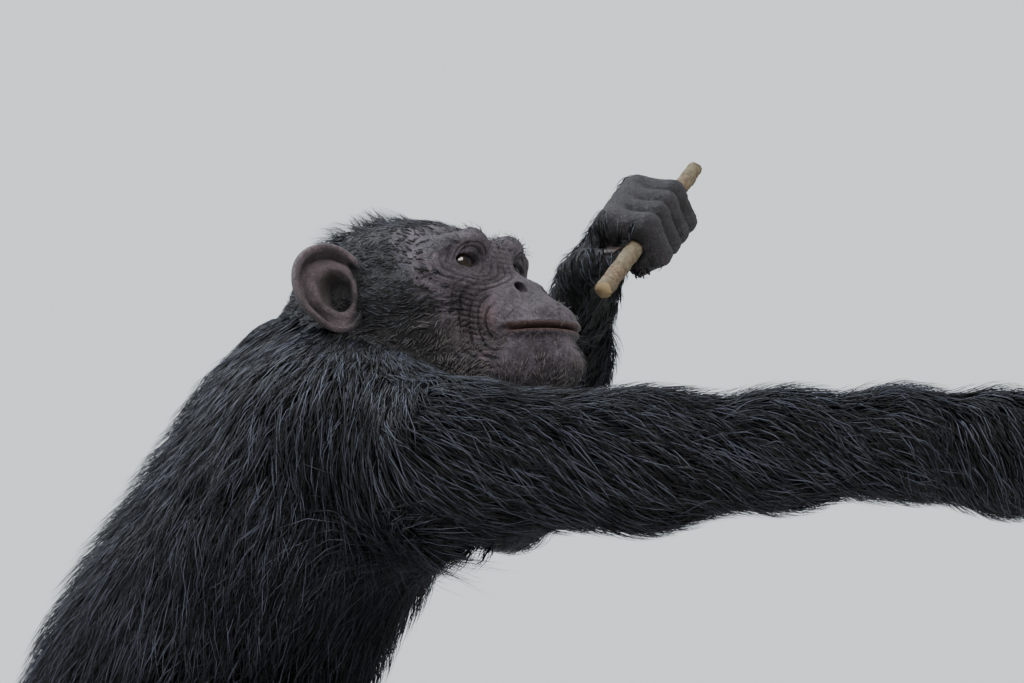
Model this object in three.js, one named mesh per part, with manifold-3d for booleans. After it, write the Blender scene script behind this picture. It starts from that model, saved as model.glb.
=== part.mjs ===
// A life-size adult chimpanzee, sitting on the floor and leaning forward. It looks up and to its right,
// reaches out level with the right arm, and holds a cut length of branch in its raised left hand.
// Millimetres. +X is the way the body faces, +Y is its left side, +Z is up. The origin is the middle of
// the flat that it sits on.
import * as THREE from "three";
import { mergeVertices } from "three/addons/utils/BufferGeometryUtils.js";
import Module from "manifold-3d";

const wasm = await Module();
wasm.setup();

const point = (x, y, z) => new THREE.Vector3(x, y, z);
const radians = THREE.MathUtils.degToRad;
const mirrored = (p, side) => point(p.x, p.y * side, p.z);

// Driving dimensions
const GAP = 0.3; // kept between two nodes that touch
const RIGHT = -1; // the side of a paired piece, as the sign of its Y
const LEFT = 1;
const TRUNK_TIP = point(190, 0, 425); // middle of the shoulder girdle
const HEAD_AT = point(228, -8, 511); // midway between the ear openings
const HEAD_YAW = -32; // degrees, towards its right
const HEAD_PITCH = 16; // degrees, nose up
const HEAD_ROLL = -5; // degrees, left side down

// Joint centres. The arms differ, so each is given in full, and the legs mirror one another.
const ARMS = {
  right: {
    shoulder: point(268, -158, 398),
    biceps: point(400, -178, 397),
    aboveElbow: point(500, -186, 404),
    elbow: point(580, -190, 409),
    forearmBelly: point(655, -190, 402),
    aboveWrist: point(760, -187, 384),
    wrist: point(846, -184, 368),
  },
  left: {
    shoulder: point(240, 160, 406),
    biceps: point(268, 290, 402),
    aboveElbow: point(292, 378, 388),
    elbow: point(308, 448, 385),
    forearmBelly: point(330, 390, 412),
    aboveWrist: point(350, 290, 488),
    wrist: point(363, 229, 531),
  },
};
const ARM_RADII = { shoulder: 48, biceps: 41, aboveElbow: 32, elbow: 29, forearmBelly: 34, aboveWrist: 26, wrist: 22 };
const LEG = {
  hip: point(30, 82, 112),
  midThigh: point(120, 168, 140),
  knee: point(212, 255, 160),
  calf: point(270, 224, 128),
  aboveAnkle: point(350, 186, 84),
  ankle: point(388, 168, 60),
};
const LEG_RADII = { hip: 74, midThigh: 60, knee: 47, calf: 44, aboveAnkle: 28, ankle: 27 };

// Depth of the coat over the skin, to the tips of the hair
const COAT = { trunk: 26, neck: 26, upperArm: 14, forearm: 13, thigh: 15, lowerLeg: 12 };
const CORE_SHARE = 0.6; // the share of the coat's depth that the solid core under the locks fills

// Shapes given by a field: a function of a point that is negative inside, and nearly the distance outside.

// A ball stretched to three half-lengths, its own z axis leaning forward by lean degrees.
function ellipsoid(centre, radii, lean = 0) {
  const back = new THREE.Quaternion().setFromAxisAngle(point(0, 1, 0), -radians(lean));
  return (p) => {
    const q = p.clone().sub(centre).applyQuaternion(back);
    const near = q.clone().divide(radii).length();
    const steep = q.clone().divide(radii).divide(radii).length();
    return steep < 1e-9 ? -Math.min(radii.x, radii.y, radii.z) : (near * (near - 1)) / steep;
  };
}

// A round bar from a to b whose radius changes evenly along it.
function bar(a, radiusA, b, radiusB) {
  const along = b.clone().sub(a);
  const lengthSquared = along.lengthSq();
  return (p) => {
    const share = THREE.MathUtils.clamp(p.clone().sub(a).dot(along) / lengthSquared, 0, 1);
    return p.distanceTo(a.clone().addScaledVector(along, share)) - THREE.MathUtils.lerp(radiusA, radiusB, share);
  };
}

const soften = (a, b, blend) => {
  const overlap = Math.max(blend - Math.abs(a - b), 0) / blend;
  return (overlap * overlap * blend) / 4;
};
const blended = (blend, ...parts) => (p) =>
  parts.map((part) => part(p)).reduce((a, b) => Math.min(a, b) - soften(a, b, blend));
const hollowed = (blend, body, ...hollows) => (p) =>
  hollows.map((hollow) => -hollow(p)).reduce((a, b) => Math.max(a, b) + soften(a, b, blend), body(p));
const grown = (field, depth) => (p) => field(p) - depth;
const bars = (points, radii, blend) =>
  blended(blend, ...points.slice(1).map((b, i) => bar(points[i], radii[i], b, radii[i + 1])));

// How far out along a ray the field's surface lies.
const FARTHEST = 400;
function reachOf(field, from, direction) {
  let far = 0;
  for (let step = 0; step < 90 && far < FARTHEST; step++) {
    const depth = -field(from.clone().addScaledVector(direction, far));
    if (depth < 0.02) break;
    far += Math.max(depth * 0.8, 0.05);
  }
  return far;
}

function normalAt(field, p) {
  const step = 0.8;
  const slope = (axis) => field(p.clone().addScaledVector(axis, step)) - field(p.clone().addScaledVector(axis, -step));
  return point(slope(point(1, 0, 0)), slope(point(0, 1, 0)), slope(point(0, 0, 1))).normalize();
}

// Meshes and solids

function geometryOf(positions, triangles) {
  const geometry = new THREE.BufferGeometry();
  geometry.setAttribute("position", new THREE.Float32BufferAttribute(positions, 3));
  geometry.setIndex(triangles);
  return geometry;
}

function solidOf(geometry) {
  const bare = geometry.clone();
  bare.deleteAttribute("normal");
  bare.deleteAttribute("uv");
  const merged = mergeVertices(bare, 1e-3);
  const triVerts = new Uint32Array(merged.index.array);
  const vertProperties = new Float32Array(merged.attributes.position.array);
  let made = new wasm.Manifold(new wasm.Mesh({ numProp: 3, vertProperties, triVerts }));
  if (made.volume() < 0) {
    for (let i = 0; i < triVerts.length; i += 3) [triVerts[i], triVerts[i + 1]] = [triVerts[i + 1], triVerts[i]];
    made = new wasm.Manifold(new wasm.Mesh({ numProp: 3, vertProperties, triVerts }));
  }
  return made;
}

// The largest closed piece of a solid. Sealed hollows and loose scraps go.
function largest(solid) {
  return solid.decompose().reduce((best, piece) => (piece.volume() > best.volume() ? piece : best));
}

// A solid's triangles. Where two folds of its surface touch at a point, each is drawn back inwards.
const DRAWN_BACK = 0.04;
function geometryFrom(solid) {
  const mesh = solid.getMesh();
  const corners = Array.from({ length: mesh.numVert }, (_, i) =>
    point(...mesh.vertProperties.slice(i * mesh.numProp, i * mesh.numProp + 3)));
  const normals = corners.map(() => point(0, 0, 0));
  for (let i = 0; i < mesh.triVerts.length; i += 3) {
    const face = [...mesh.triVerts.slice(i, i + 3)];
    const [a, b, c] = face.map((corner) => corners[corner]);
    const normal = b.clone().sub(a).cross(c.clone().sub(a));
    face.forEach((corner) => normals[corner].add(normal));
  }
  const places = new Map();
  corners.forEach((corner, i) => {
    const key = corner.toArray().map((value) => Math.round(value * 50)).join();
    places.set(key, [...(places.get(key) ?? []), i]);
  });
  for (const touching of places.values()) {
    if (touching.length === 1) continue;
    for (const i of touching) corners[i].addScaledVector(normals[i].normalize(), -DRAWN_BACK);
  }
  return geometryOf(corners.flatMap((corner) => corner.toArray()), [...mesh.triVerts]);
}

// A node's solid as it is written out: its shortest edges gone, and one closed body.
const SHORTEST = 0.1;
function settled(solid) {
  return largest(solidOf(geometryFrom(largest(solid.simplify(SHORTEST)))));
}

// Rings of corners, each ring a list of points, closed by a point or a flat fan at both ends.
function skinOf(rings, firstPole, lastPole) {
  const sides = rings[0].length;
  const corners = [firstPole, ...rings.flat(), lastPole];
  const last = corners.length - 1;
  const at = (ring, side) => 1 + ring * sides + (side % sides);
  const triangles = [];
  for (let side = 0; side < sides; side++) {
    triangles.push(0, at(0, side + 1), at(0, side));
    for (let ring = 0; ring < rings.length - 1; ring++) {
      const [a, b, c, d] = [at(ring, side), at(ring, side + 1), at(ring + 1, side + 1), at(ring + 1, side)];
      triangles.push(a, b, c, a, c, d);
    }
    triangles.push(last, at(rings.length - 1, side), at(rings.length - 1, side + 1));
  }
  return geometryOf(corners.flatMap((p) => p.toArray()), triangles);
}

// Two directions square to a line and to each other.
function acrossOf(along, up) {
  const side = point(0, 0, 0).crossVectors(along, up).normalize();
  return [side, point(0, 0, 0).crossVectors(side, along)];
}

// A field's surface, met by rays from a line inside it: square to the line along its length, and fanned
// out round its two ends.
function wrapped(field, line, stations, sides, { up = point(0, 0, 1), fans = 2 } = {}) {
  const curve = new THREE.CatmullRomCurve3(line);
  const spokes = [];
  for (let i = 1; i <= fans; i++) spokes.push([0, 180 - (90 * i) / (fans + 1)]);
  for (let i = 0; i < stations; i++) spokes.push([i / (stations - 1), 90]);
  for (let i = fans; i >= 1; i--) spokes.push([1, (90 * i) / (fans + 1)]);
  const meet = (share, direction) => {
    const from = curve.getPoint(share);
    return from.addScaledVector(direction, reachOf(field, from, direction));
  };
  const rings = spokes.map(([share, angle]) => {
    const along = curve.getTangent(share);
    const [side, lift] = acrossOf(along, up);
    return Array.from({ length: sides }, (_, k) => {
      const turn = (2 * Math.PI * k) / sides;
      const direction = along.clone().multiplyScalar(Math.cos(radians(angle)));
      direction.addScaledVector(side, Math.sin(radians(angle)) * Math.cos(turn));
      direction.addScaledVector(lift, Math.sin(radians(angle)) * Math.sin(turn));
      return meet(share, direction);
    });
  });
  return solidOf(skinOf(rings, meet(0, curve.getTangent(0).negate()), meet(1, curve.getTangent(1))));
}

// A field's surface where rays from one line can't reach all of it: from a lattice of small cells, with
// the points that its flatter parts don't need taken out.
function cast(field, min, max, cell, slack) {
  const box = { min: min.toArray(), max: max.toArray() };
  const inside = ([x, y, z]) => -field(point(x, y, z));
  const fine = wasm.Manifold.levelSet(inside, box, cell, 0, cell / 20);
  return largest([0.5, 1, 1].reduce((solid, share) => solid.simplify(share * slack), fine));
}

// A solid kept on one side of a plane through a point.
function keptBeyond(solid, at, normal) {
  const n = normal.clone().normalize();
  return solid.trimByPlane(n.toArray(), n.dot(at) + GAP / 2);
}

// The hull round a solid, larger by the gap and the slack on every side, and made plainer by the slack.
function roomFor(solid, slack = 0) {
  const step = (GAP + slack) * Math.sqrt(3);
  const moves = [[step, 0, 0], [-step, 0, 0], [0, step, 0], [0, -step, 0], [0, 0, step], [0, 0, -step]];
  return wasm.Manifold.hull(moves.map((move) => solid.translate(move))).simplify(slack);
}
const clearOf = (solid, rooms) => rooms.reduce((left, room) => left.subtract(room), solid);


// A random draw that is the same every time
function drawsFrom(seed) {
  let state = seed;
  return () => {
    state = (state * 1664525 + 1013904223) % 4294967296;
    return state / 4294967296;
  };
}

// Locks of the coat. Each is a flat, tapered strand of three sides whose root is sunk in the core and
// whose line follows the body's surface along the lie of the hair.
const LOCK_HEIGHTS = [0, 0.62, 0.9, 1]; // of the coat's depth over the skin, from root to tip
const LOCK_WIDTHS = [0.6, 1, 0.72, 0]; // of the lock's width
function lock(field, root, lie, length, width, depth) {
  const rows = [];
  let here = root.clone();
  let heading = lie.clone();
  LOCK_HEIGHTS.forEach((height, i) => {
    const normal = normalAt(field, here);
    here.addScaledVector(normal, -field(here));
    heading.addScaledVector(normal, -heading.dot(normal)).normalize();
    const middle = here.clone().addScaledVector(normal, height * depth);
    const side = point(0, 0, 0).crossVectors(normal, heading).multiplyScalar((width * LOCK_WIDTHS[i]) / 2);
    const ridge = middle.clone().addScaledVector(normal, depth * 0.22 * LOCK_WIDTHS[i]);
    rows.push([middle.clone().sub(side), middle.clone().add(side), ridge]);
    here = here.clone().addScaledVector(heading, length / (LOCK_HEIGHTS.length - 1));
    heading = heading.clone();
  });
  const tip = rows.pop()[2];
  const foot = rows[0].reduce((sum, p) => sum.add(p), point(0, 0, 0)).divideScalar(3);
  return solidOf(skinOf(rows, foot, tip));
}

// A coat of locks on a field, in staggered rows round a line inside it.
function coatOf(field, line, options) {
  const { rows, round, length, width, depth, lie, seed, from = 0.05, to = 0.95, up = point(0, 0, 1) } = options;
  const keep = options.keep ?? (() => true);
  const draw = drawsFrom(seed);
  const curve = new THREE.CatmullRomCurve3(line);
  const locks = [];
  for (let row = 0; row < rows; row++) {
    for (let k = 0; k < round; k++) {
      const share = THREE.MathUtils.lerp(from, to, (row + (draw() - 0.5) * 0.5) / Math.max(rows - 1, 1));
      const turn = (2 * Math.PI * (k + (row % 2) / 2 + (draw() - 0.5) * 0.35)) / round;
      const start = curve.getPoint(THREE.MathUtils.clamp(share, 0, 1));
      const along = curve.getTangent(THREE.MathUtils.clamp(share, 0, 1));
      const [side, lift] = acrossOf(along, up);
      const out = side.multiplyScalar(Math.cos(turn)).addScaledVector(lift, Math.sin(turn));
      const root = start.clone().addScaledVector(out, reachOf(field, start, out));
      const size = 0.85 + 0.3 * draw();
      if (keep(root)) locks.push(lock(field, root, lie(root, along), length * size, width * size, depth));
    }
  }
  return locks;
}

// A core with its locks, as one solid.
const FUSED_SLACK = 1.3;
const fused = (core, locks) => largest(wasm.Manifold.union([core, ...locks]).simplify(FUSED_SLACK));

// Trunk: one field for the skin of pelvis, belly, chest and shoulder girdle, parted at the waist
const trunkSkin = blended(
  60,
  ellipsoid(point(2, 0, 100), point(90, 116, 104), 8),
  ellipsoid(point(74, 0, 228), point(102, 126, 122), 24),
  ellipsoid(point(146, 0, 352), point(94, 138, 128), 34),
  ellipsoid(TRUNK_TIP, point(74, 150, 56), 34),
  ...Object.values(ARMS).map(({ shoulder }) => bar(shoulder.clone().lerp(TRUNK_TIP, 0.5), 52, shoulder, 46)),
);
const trunkLine = [point(2, 0, 92), point(70, 0, 220), point(140, 0, 345), TRUNK_TIP];
const WAIST_AT = point(66, 0, 214);
const WAIST_NORMAL = point(0.42, 0, 0.91);

// Neck: a thick column from the shoulders to the back of the skull, and the throat under the jaw
const neckLine = [point(172, 2, 425), point(200, 0, 470), point(214, -2, 500)];
const neckSkin = blended(
  30,
  bars(neckLine, [78, 58, 52], 30),
  bar(point(236, -14, 412), 54, point(264, -36, 436), 40),
  bar(point(156, 4, 425), 44, point(184, 12, 484), 36),
);

const NECK_BASE_AT = point(185, 0, 438);
const NECK_BASE_NORMAL = point(0.35, 0, 0.94);

// Limbs
const armSkin = (arm, names, blend = 24) =>
  bars(names.map((n) => arm[n]), names.map((n) => ARM_RADII[n]), blend);
const UPPER_ARM = ["shoulder", "biceps", "aboveElbow", "elbow"];
const FOREARM = ["elbow", "forearmBelly", "aboveWrist", "wrist"];
const THIGH = ["hip", "midThigh", "knee"];
const LOWER_LEG = ["knee", "calf", "aboveAnkle", "ankle"];

// The plane that parts two limb pieces at a joint, halfway between their directions.
function bisector(before, joint, after) {
  const into = joint.clone().sub(before).normalize();
  const outOf = after.clone().sub(joint).normalize();
  return into.add(outOf).normalize();
}

const downhill = (pull) => (root, along) =>
  along.clone().multiplyScalar(1 - pull).add(point(0, 0, -pull)).normalize();
const uphill = (pull) => (root, along) =>
  along.clone().multiplyScalar(pull - 1).add(point(0, 0, -pull)).normalize();

// Head, in its own frame: x forward, y left, z up, from midway between the ear openings
const EYE_AT = point(72, 31, 7);
const EYE_RADIUS = 11;
const MOUTH_CORNER = point(102, 33, -51);
const MOUTH_FRONT = point(134, 0, -57);

const onBothSides = (make) => [make(RIGHT), make(LEFT)];
const skull = blended(
  22,
  ellipsoid(point(-8, 0, 17), point(76, 57, 46)),
  ellipsoid(point(34, 0, 16), point(47, 46, 34)),
  ...onBothSides((s) => ellipsoid(point(18, 44 * s, 4), point(46, 20, 40))),
);
const browRidge = bars(
  [point(58, -52, 10), point(76, -42, 22), point(85, -24, 27), point(83, 0, 22), point(85, 24, 27),
    point(76, 42, 22), point(58, 52, 10)],
  [9, 10, 10, 9, 10, 10, 9],
  10,
);
const cheeks = blended(
  14,
  ...onBothSides((s) => bar(point(73, 43 * s, -10), 12, point(20, 60 * s, -8), 11)),
  ...onBothSides((s) => bar(point(79, 31 * s, -17), 13, point(90, 24 * s, -34), 16)),
  ...onBothSides((s) => bar(point(80, 14 * s, -2), 9, point(92, 16 * s, -26), 10)),
  ...onBothSides((s) => bar(point(48, 42 * s, -30), 20, point(18, 48 * s, -34), 20)),
  ...onBothSides((s) => bar(point(34, 42 * s, -60), 18, point(92, 24 * s, -72), 17)),
);
const nose = blended(
  8,
  bar(point(79, 0, 10), 8.5, point(93, 0, -11), 9.5),
  ellipsoid(point(99, 0, -20), point(10, 18, 8.5)),
);
const muzzle = blended(
  12,
  ellipsoid(point(92, 0, -42), point(44, 37, 24), 16),
  ellipsoid(point(108, 0, -48), point(26, 33, 17), 14),
  ellipsoid(point(92, 0, -76), point(44, 33, 20), 8),
  ellipsoid(point(110, 0, -76), point(26, 29, 17), 8),
);
const throat = blended(20,
  ellipsoid(point(-8, 0, -40), point(58, 56, 60), -20),
  ellipsoid(point(52, 0, -72), point(58, 38, 30), 8));
const eyelids = onBothSides((s) => ellipsoid(mirrored(EYE_AT, s), point(14, 14.5, 13.5)));
const headSkin = blended(5,
  hollowed(8, blended(14, skull, browRidge, cheeks, nose, muzzle, throat),
    ...onBothSides((s) => ellipsoid(point(92, 33 * s, 6), point(15, 13, 8)))),
  ...eyelids);

function ball(radius, centre, stretch = point(1, 1, 1), around = 12, rings = 8) {
  const geometry = new THREE.SphereGeometry(radius, around, rings);
  geometry.scale(stretch.x, stretch.y, stretch.z);
  geometry.translate(centre.x, centre.y, centre.z);
  return solidOf(geometry);
}

// The mouth's opening: a thin slot along the lips, from corner to corner round the front.
const MOUTH_HALF_HEIGHT = 1.6;
const MOUTH_DEPTH = 16;
function mouthSlot() {
  const steps = 10;
  const rings = [];
  for (let i = 0; i <= steps; i++) {
    const turn = Math.PI * (i / steps - 0.5);
    const across = Math.sin(turn);
    const forward = Math.cos(turn);
    const edge = point(
      THREE.MathUtils.lerp(MOUTH_CORNER.x, MOUTH_FRONT.x + 8, forward),
      across * (MOUTH_CORNER.y + 6),
      THREE.MathUtils.lerp(MOUTH_CORNER.z, MOUTH_FRONT.z, forward),
    );
    const inner = point(edge.x - MOUTH_DEPTH * forward - 6, edge.y * 0.55, edge.z + 2);
    const height = MOUTH_HALF_HEIGHT * (0.3 + 0.7 * forward);
    rings.push([edge.clone().setZ(edge.z - height), edge.clone().setZ(edge.z + height),
      inner.clone().setZ(inner.z + height), inner.clone().setZ(inner.z - height)]);
  }
  const middleOf = (ring) => ring.reduce((sum, p) => sum.add(p), point(0, 0, 0)).divideScalar(4);
  return solidOf(skinOf(rings, middleOf(rings[0]), middleOf(rings.at(-1))));
}

const NECK_CUT_AT = point(-10, 0, -56); // where a plane parts the head from the neck
const NECK_CUT_NORMAL = point(0.5, 0, 0.867);
const HEAD_CELL = 6;
const HEAD_SLACK = 1.1;
let headSolid = keptBeyond(cast(headSkin, point(-100, -80, -120), point(150, 80, 90), HEAD_CELL, HEAD_SLACK),
  NECK_CUT_AT, NECK_CUT_NORMAL);
for (const s of [RIGHT, LEFT]) {
  const eye = mirrored(EYE_AT, s);
  headSolid = headSolid.subtract(ball(EYE_RADIUS + GAP * 1.3, eye));
  headSolid = headSolid.subtract(ball(1, eye.clone().add(point(10, 1.5 * s, 0)), point(12, 12, 4.6)));
  headSolid = headSolid.subtract(ball(1, point(105, 13 * s, -21), point(8, 4.4, 3.4), 10, 6));
}
headSolid = largest(headSolid.subtract(mouthSlot()));
const eyes = onBothSides((s) => ball(EYE_RADIUS, mirrored(EYE_AT, s)));

// Ear: a cupped, egg-shaped shell with a rolled rim, set on the side of the head and turned outwards
const EAR_HEIGHT = 70;
const EAR_WIDTH = 52;
const EAR_AT = point(-6, 80, 8);
const EAR_OUT = 40; // degrees that its hind edge stands off the head
const EAR_BACK = 14; // degrees that its top leans back
const EAR_THICKNESS = 4.5;
function earShell(s) {
  const around = 14;
  const shares = [0.3, 0.55, 0.78, 0.94, 1];
  const hollow = [-13, -10, -3, 3, 2]; // the face's height along the shares, from the bowl to the rim
  const edgeOf = (turn) => {
    const lobe = 1 - 0.16 * Math.max(0, -Math.sin(turn));
    return [Math.cos(turn) * (EAR_WIDTH / 2) * lobe, Math.sin(turn) * (EAR_HEIGHT / 2)];
  };
  const ring = (share, height, inset = 0) => Array.from({ length: around }, (_, k) => {
    const turn = (2 * Math.PI * k) / around;
    const [x, z] = edgeOf(turn);
    return point(x * (share - inset), -height, z * (share - inset));
  });
  const face = shares.map((share, i) => ring(share, hollow[i]));
  const back = [...shares].reverse().map((share, i) => ring(share, hollow[shares.length - 1 - i] - EAR_THICKNESS, 0.02));
  const geometry = skinOf([...face, ...back], point(0, -hollow[0], 0), point(0, EAR_THICKNESS - hollow[0], 0));
  const root = solidOf(skinOf(
    [ring(0.62, -8), ring(0.7, -40)].map((r) => r.map((p) => p.add(point(9, 0, -2)))),
    point(9, 8, -2), point(9, 40, -2)));
  const place = new THREE.Matrix4().makeTranslation(EAR_AT.x, EAR_AT.y * s, EAR_AT.z);
  place.multiply(new THREE.Matrix4().makeRotationZ(radians(-EAR_OUT * s)));
  place.multiply(new THREE.Matrix4().makeRotationY(radians(-EAR_BACK)));
  place.multiply(new THREE.Matrix4().makeScale(1, -s, 1));
  const shell = solidOf(geometry.applyMatrix4(place));
  return shell.add(root.transform(place.elements));
}
const earClearance = (s) => headSolid.translate([0, GAP * 2 * s, 0]).add(headSolid.translate([GAP, GAP * s, GAP]));
const ears = onBothSides((s) => largest(earShell(s).simplify(0.5).subtract(earClearance(s))));

const headPlace = new THREE.Matrix4().makeTranslation(...HEAD_AT.toArray());
headPlace.multiply(new THREE.Matrix4().makeRotationZ(radians(HEAD_YAW)));
headPlace.multiply(new THREE.Matrix4().makeRotationY(radians(-HEAD_PITCH)));
headPlace.multiply(new THREE.Matrix4().makeRotationX(radians(HEAD_ROLL)));
const headRooms = [headSolid, ...ears].map((solid) => roomFor(solid.transform(headPlace.elements), 1.2));
const neckCutAt = NECK_CUT_AT.clone().applyMatrix4(headPlace);
const neckCutNormal = NECK_CUT_NORMAL.clone().transformDirection(headPlace);

// Solids of the body, in the animal's own frame
const onFloor = (solid) => solid.trimByPlane([0, 0, 1], 0);
const core = (field, depth) => grown(field, depth * CORE_SHARE);

// Hands and feet are bars blended together, and each digit is a chain of them.
const digit = (joints, radii) => bars(joints, radii, 3);

// The right hand hangs open with its palm down. Its frame has x along it, y to its thumb, z out of its back.
const HAND_CELL = 8;
const HAND_SLACK = 1.6;
const PALM_RADII = { wrist: 19, knuckle: 13.5 };
const DIGIT_RADII = [12.5, 11, 9.5, 7.5];
const knuckles = { index: point(86, 31, 3), middle: point(91, 10, 6), ring: point(87, -12, 5), little: point(79, -32, 1) };
const phalanges = { index: [46, 31, 22], middle: [50, 35, 23], ring: [48, 33, 22], little: [40, 26, 20] };
const bends = [14, 50, 76]; // degrees below the palm's line, segment by segment
function openHand() {
  const palm = blended(14, ...Object.values(knuckles).map((at) =>
    bar(point(6, at.y * 0.45, 0), PALM_RADII.wrist - 3, at, PALM_RADII.knuckle)),
    bar(point(10, 16, -4), 17, point(48, 40, -14), 14));
  const parts = [palm];
  Object.entries(knuckles).forEach(([name, at], i) => {
    const spread = radians((at.y / 31) * 5);
    const joints = [at.clone()];
    phalanges[name].forEach((length, k) => {
      const bend = radians(bends[k] + i * 3);
      joints.push(joints.at(-1).clone().add(
        point(Math.cos(bend) * Math.cos(spread), Math.cos(bend) * Math.sin(spread), -Math.sin(bend)).multiplyScalar(length)));
    });
    parts.push(digit(joints, DIGIT_RADII));
  });
  parts.push(digit([point(34, 38, -12), point(60, 52, -20), point(84, 54, -30)], [13, 11, 8.5]));
  return cast(blended(5, ...parts), point(-20, -70, -120), point(220, 90, 40), HAND_CELL, HAND_SLACK);
}

// The left hand holds the branch, its fingers wrapped round it on the side of the camera.
const BRANCH_AT = point(412, 196, 582);
const BRANCH_ALONG = point(0.3, 0.85, 0.43).normalize();
const BRANCH_RADIUS = 6.5;
const BRANCH_LENGTHS = { below: 120, above: 120 };
const towardPalm = point(-0.82, 0, 0.572);
const towardCamera = point(0.486, -0.524, 0.697);
const wrap = [[24, 5], [18, 85], [17.5, 165], [16.5, 235]]; // each joint's distance from the branch, and its turn
function gripPoint(along, [radius, turn]) {
  return BRANCH_AT.clone().addScaledVector(BRANCH_ALONG, along)
    .addScaledVector(towardPalm, radius * Math.cos(radians(turn)))
    .addScaledVector(towardCamera, radius * Math.sin(radians(turn)));
}
const GRIP_PLACES = [-33, -11, 11, 32]; // of the four fingers, along the branch
const GRIP_RADII = [12, 10.5, 10, 8];
function grippingHand() {
  const wrist = ARMS.left.wrist;
  const thumbBase = wrist.clone().addScaledVector(BRANCH_ALONG, -20);
  const palm = blended(14, ...GRIP_PLACES.map((along) =>
    bar(wrist.clone().addScaledVector(BRANCH_ALONG, along * 0.4), PALM_RADII.wrist - 3, gripPoint(along, wrap[0]), PALM_RADII.knuckle)),
    bar(thumbBase, 16, point(357, 184, 548), 13));
  const parts = [palm];
  for (const along of GRIP_PLACES) parts.push(digit(wrap.map((at) => gripPoint(along, at)), GRIP_RADII));
  parts.push(digit([point(357, 190, 545), point(366, 172, 554), point(386, 158, 556)], [13, 11.5, 9]));
  return cast(blended(3, ...parts), point(300, 120, 480), point(500, 300, 660), HAND_CELL, HAND_SLACK);
}

const branchLine = new THREE.CatmullRomCurve3([-BRANCH_LENGTHS.below, -40, 40, BRANCH_LENGTHS.above].map(
  (along) => BRANCH_AT.clone().addScaledVector(BRANCH_ALONG, along)));
function barrel(curve, radius) {
  const rings = [0, 0.2, 0.4, 0.6, 0.8, 1].map((share) => {
    const [side, lift] = acrossOf(BRANCH_ALONG, point(0, 0, 1));
    return Array.from({ length: 8 }, (_, k) => curve.getPoint(share)
      .addScaledVector(side, radius * (1.08 - 0.16 * share) * Math.cos((Math.PI * k) / 4))
      .addScaledVector(lift, radius * (1.08 - 0.16 * share) * Math.sin((Math.PI * k) / 4)));
  });
  return skinOf(rings, curve.getPoint(0), curve.getPoint(1));
}

// A foot lies flat, its great toe spread like a thumb. Its frame has x along it and y to its inner side.
const FOOT_TURN = 12; // degrees outwards
const FOOT_CELL = 10;
const FOOT_SLACK = 2.2;
function footAt(ankle, s) {
  const toes = [[112, 14, 15], [114, -7, 15], [108, -26, 14], [98, -43, 13]].map(([x, y, z]) => point(x, y, z));
  const sole = blended(18,
    bar(point(-34, 0, 26), 27, point(4, 0, 40), 27),
    bar(point(0, 0, 58), 25, point(2, 0, 44), 26),
    ...toes.map((at) => bar(point(14, at.y * 0.35, 32), 22, at, 16)),
    bar(point(18, 10, 26), 22, point(62, 30, 16), 17));
  const parts = [sole];
  toes.forEach((at, i) => {
    const length = 1 - i * 0.09;
    const spread = (at.y + 14) / 300;
    const step = (x, z) => point(at.x + x * length, at.y + x * length * spread, z);
    parts.push(digit([at.clone(), step(36, 17), step(60, 12), step(78, 7.5)], [13.5, 11.5, 9.5, 8]));
  });
  parts.push(digit([point(56, 28, 16), point(92, 52, 14), point(116, 62, 12), point(134, 66, 9)], [16, 13.5, 12, 9.5]));
  const place = new THREE.Matrix4().makeTranslation(ankle.x, ankle.y, 0);
  place.multiply(new THREE.Matrix4().makeRotationZ(radians(FOOT_TURN * s)));
  place.multiply(new THREE.Matrix4().makeScale(1, -s, 1));
  const foot = cast(blended(5, ...parts), point(-80, -80, -20), point(220, 110, 100), FOOT_CELL, FOOT_SLACK);
  return onFloor(foot.transform(place.elements));
}

// The body, node by node. Each piece is parted from the next by a plane, or makes room for it.
const nodes = {};
const roomsAround = (names) => names.map((name) => roomFor(nodes[name]));

for (const [name, arm] of Object.entries(ARMS)) {
  const elbowCut = bisector(arm.aboveElbow, arm.elbow, arm.forearmBelly);
  const wristCut = arm.wrist.clone().sub(arm.aboveWrist).normalize();
  const shoulderCut = arm.biceps.clone().sub(arm.shoulder).normalize();
  const upperLine = UPPER_ARM.map((n) => arm[n]);
  const upperSkin = armSkin(arm, UPPER_ARM);
  const upper = fused(
    wrapped(core(upperSkin, COAT.upperArm), upperLine, 7, 12),
    coatOf(upperSkin, upperLine, {
      rows: 2, round: 5, length: 110, width: 56, depth: COAT.upperArm, seed: 21, from: 0.2, to: 0.86,
      lie: downhill(0.12),
    }),
  );
  nodes["upper_arm_" + name] = largest(keptBeyond(
    keptBeyond(upper, arm.elbow, elbowCut.clone().negate()), arm.shoulder, shoulderCut));
  const lowerLine = FOREARM.map((n) => arm[n]);
  const lowerSkin = armSkin(arm, FOREARM);
  const lower = fused(
    wrapped(core(lowerSkin, COAT.forearm), lowerLine, 7, 12),
    coatOf(lowerSkin, lowerLine, {
      rows: 2, round: 3, length: 100, width: 58, depth: COAT.forearm, seed: 33, from: 0.2, to: 0.8,
      lie: uphill(0.1),
    }),
  );
  nodes["forearm_" + name] = largest(
    keptBeyond(keptBeyond(lower, arm.elbow, elbowCut), arm.wrist, wristCut.clone().negate()));
}

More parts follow.
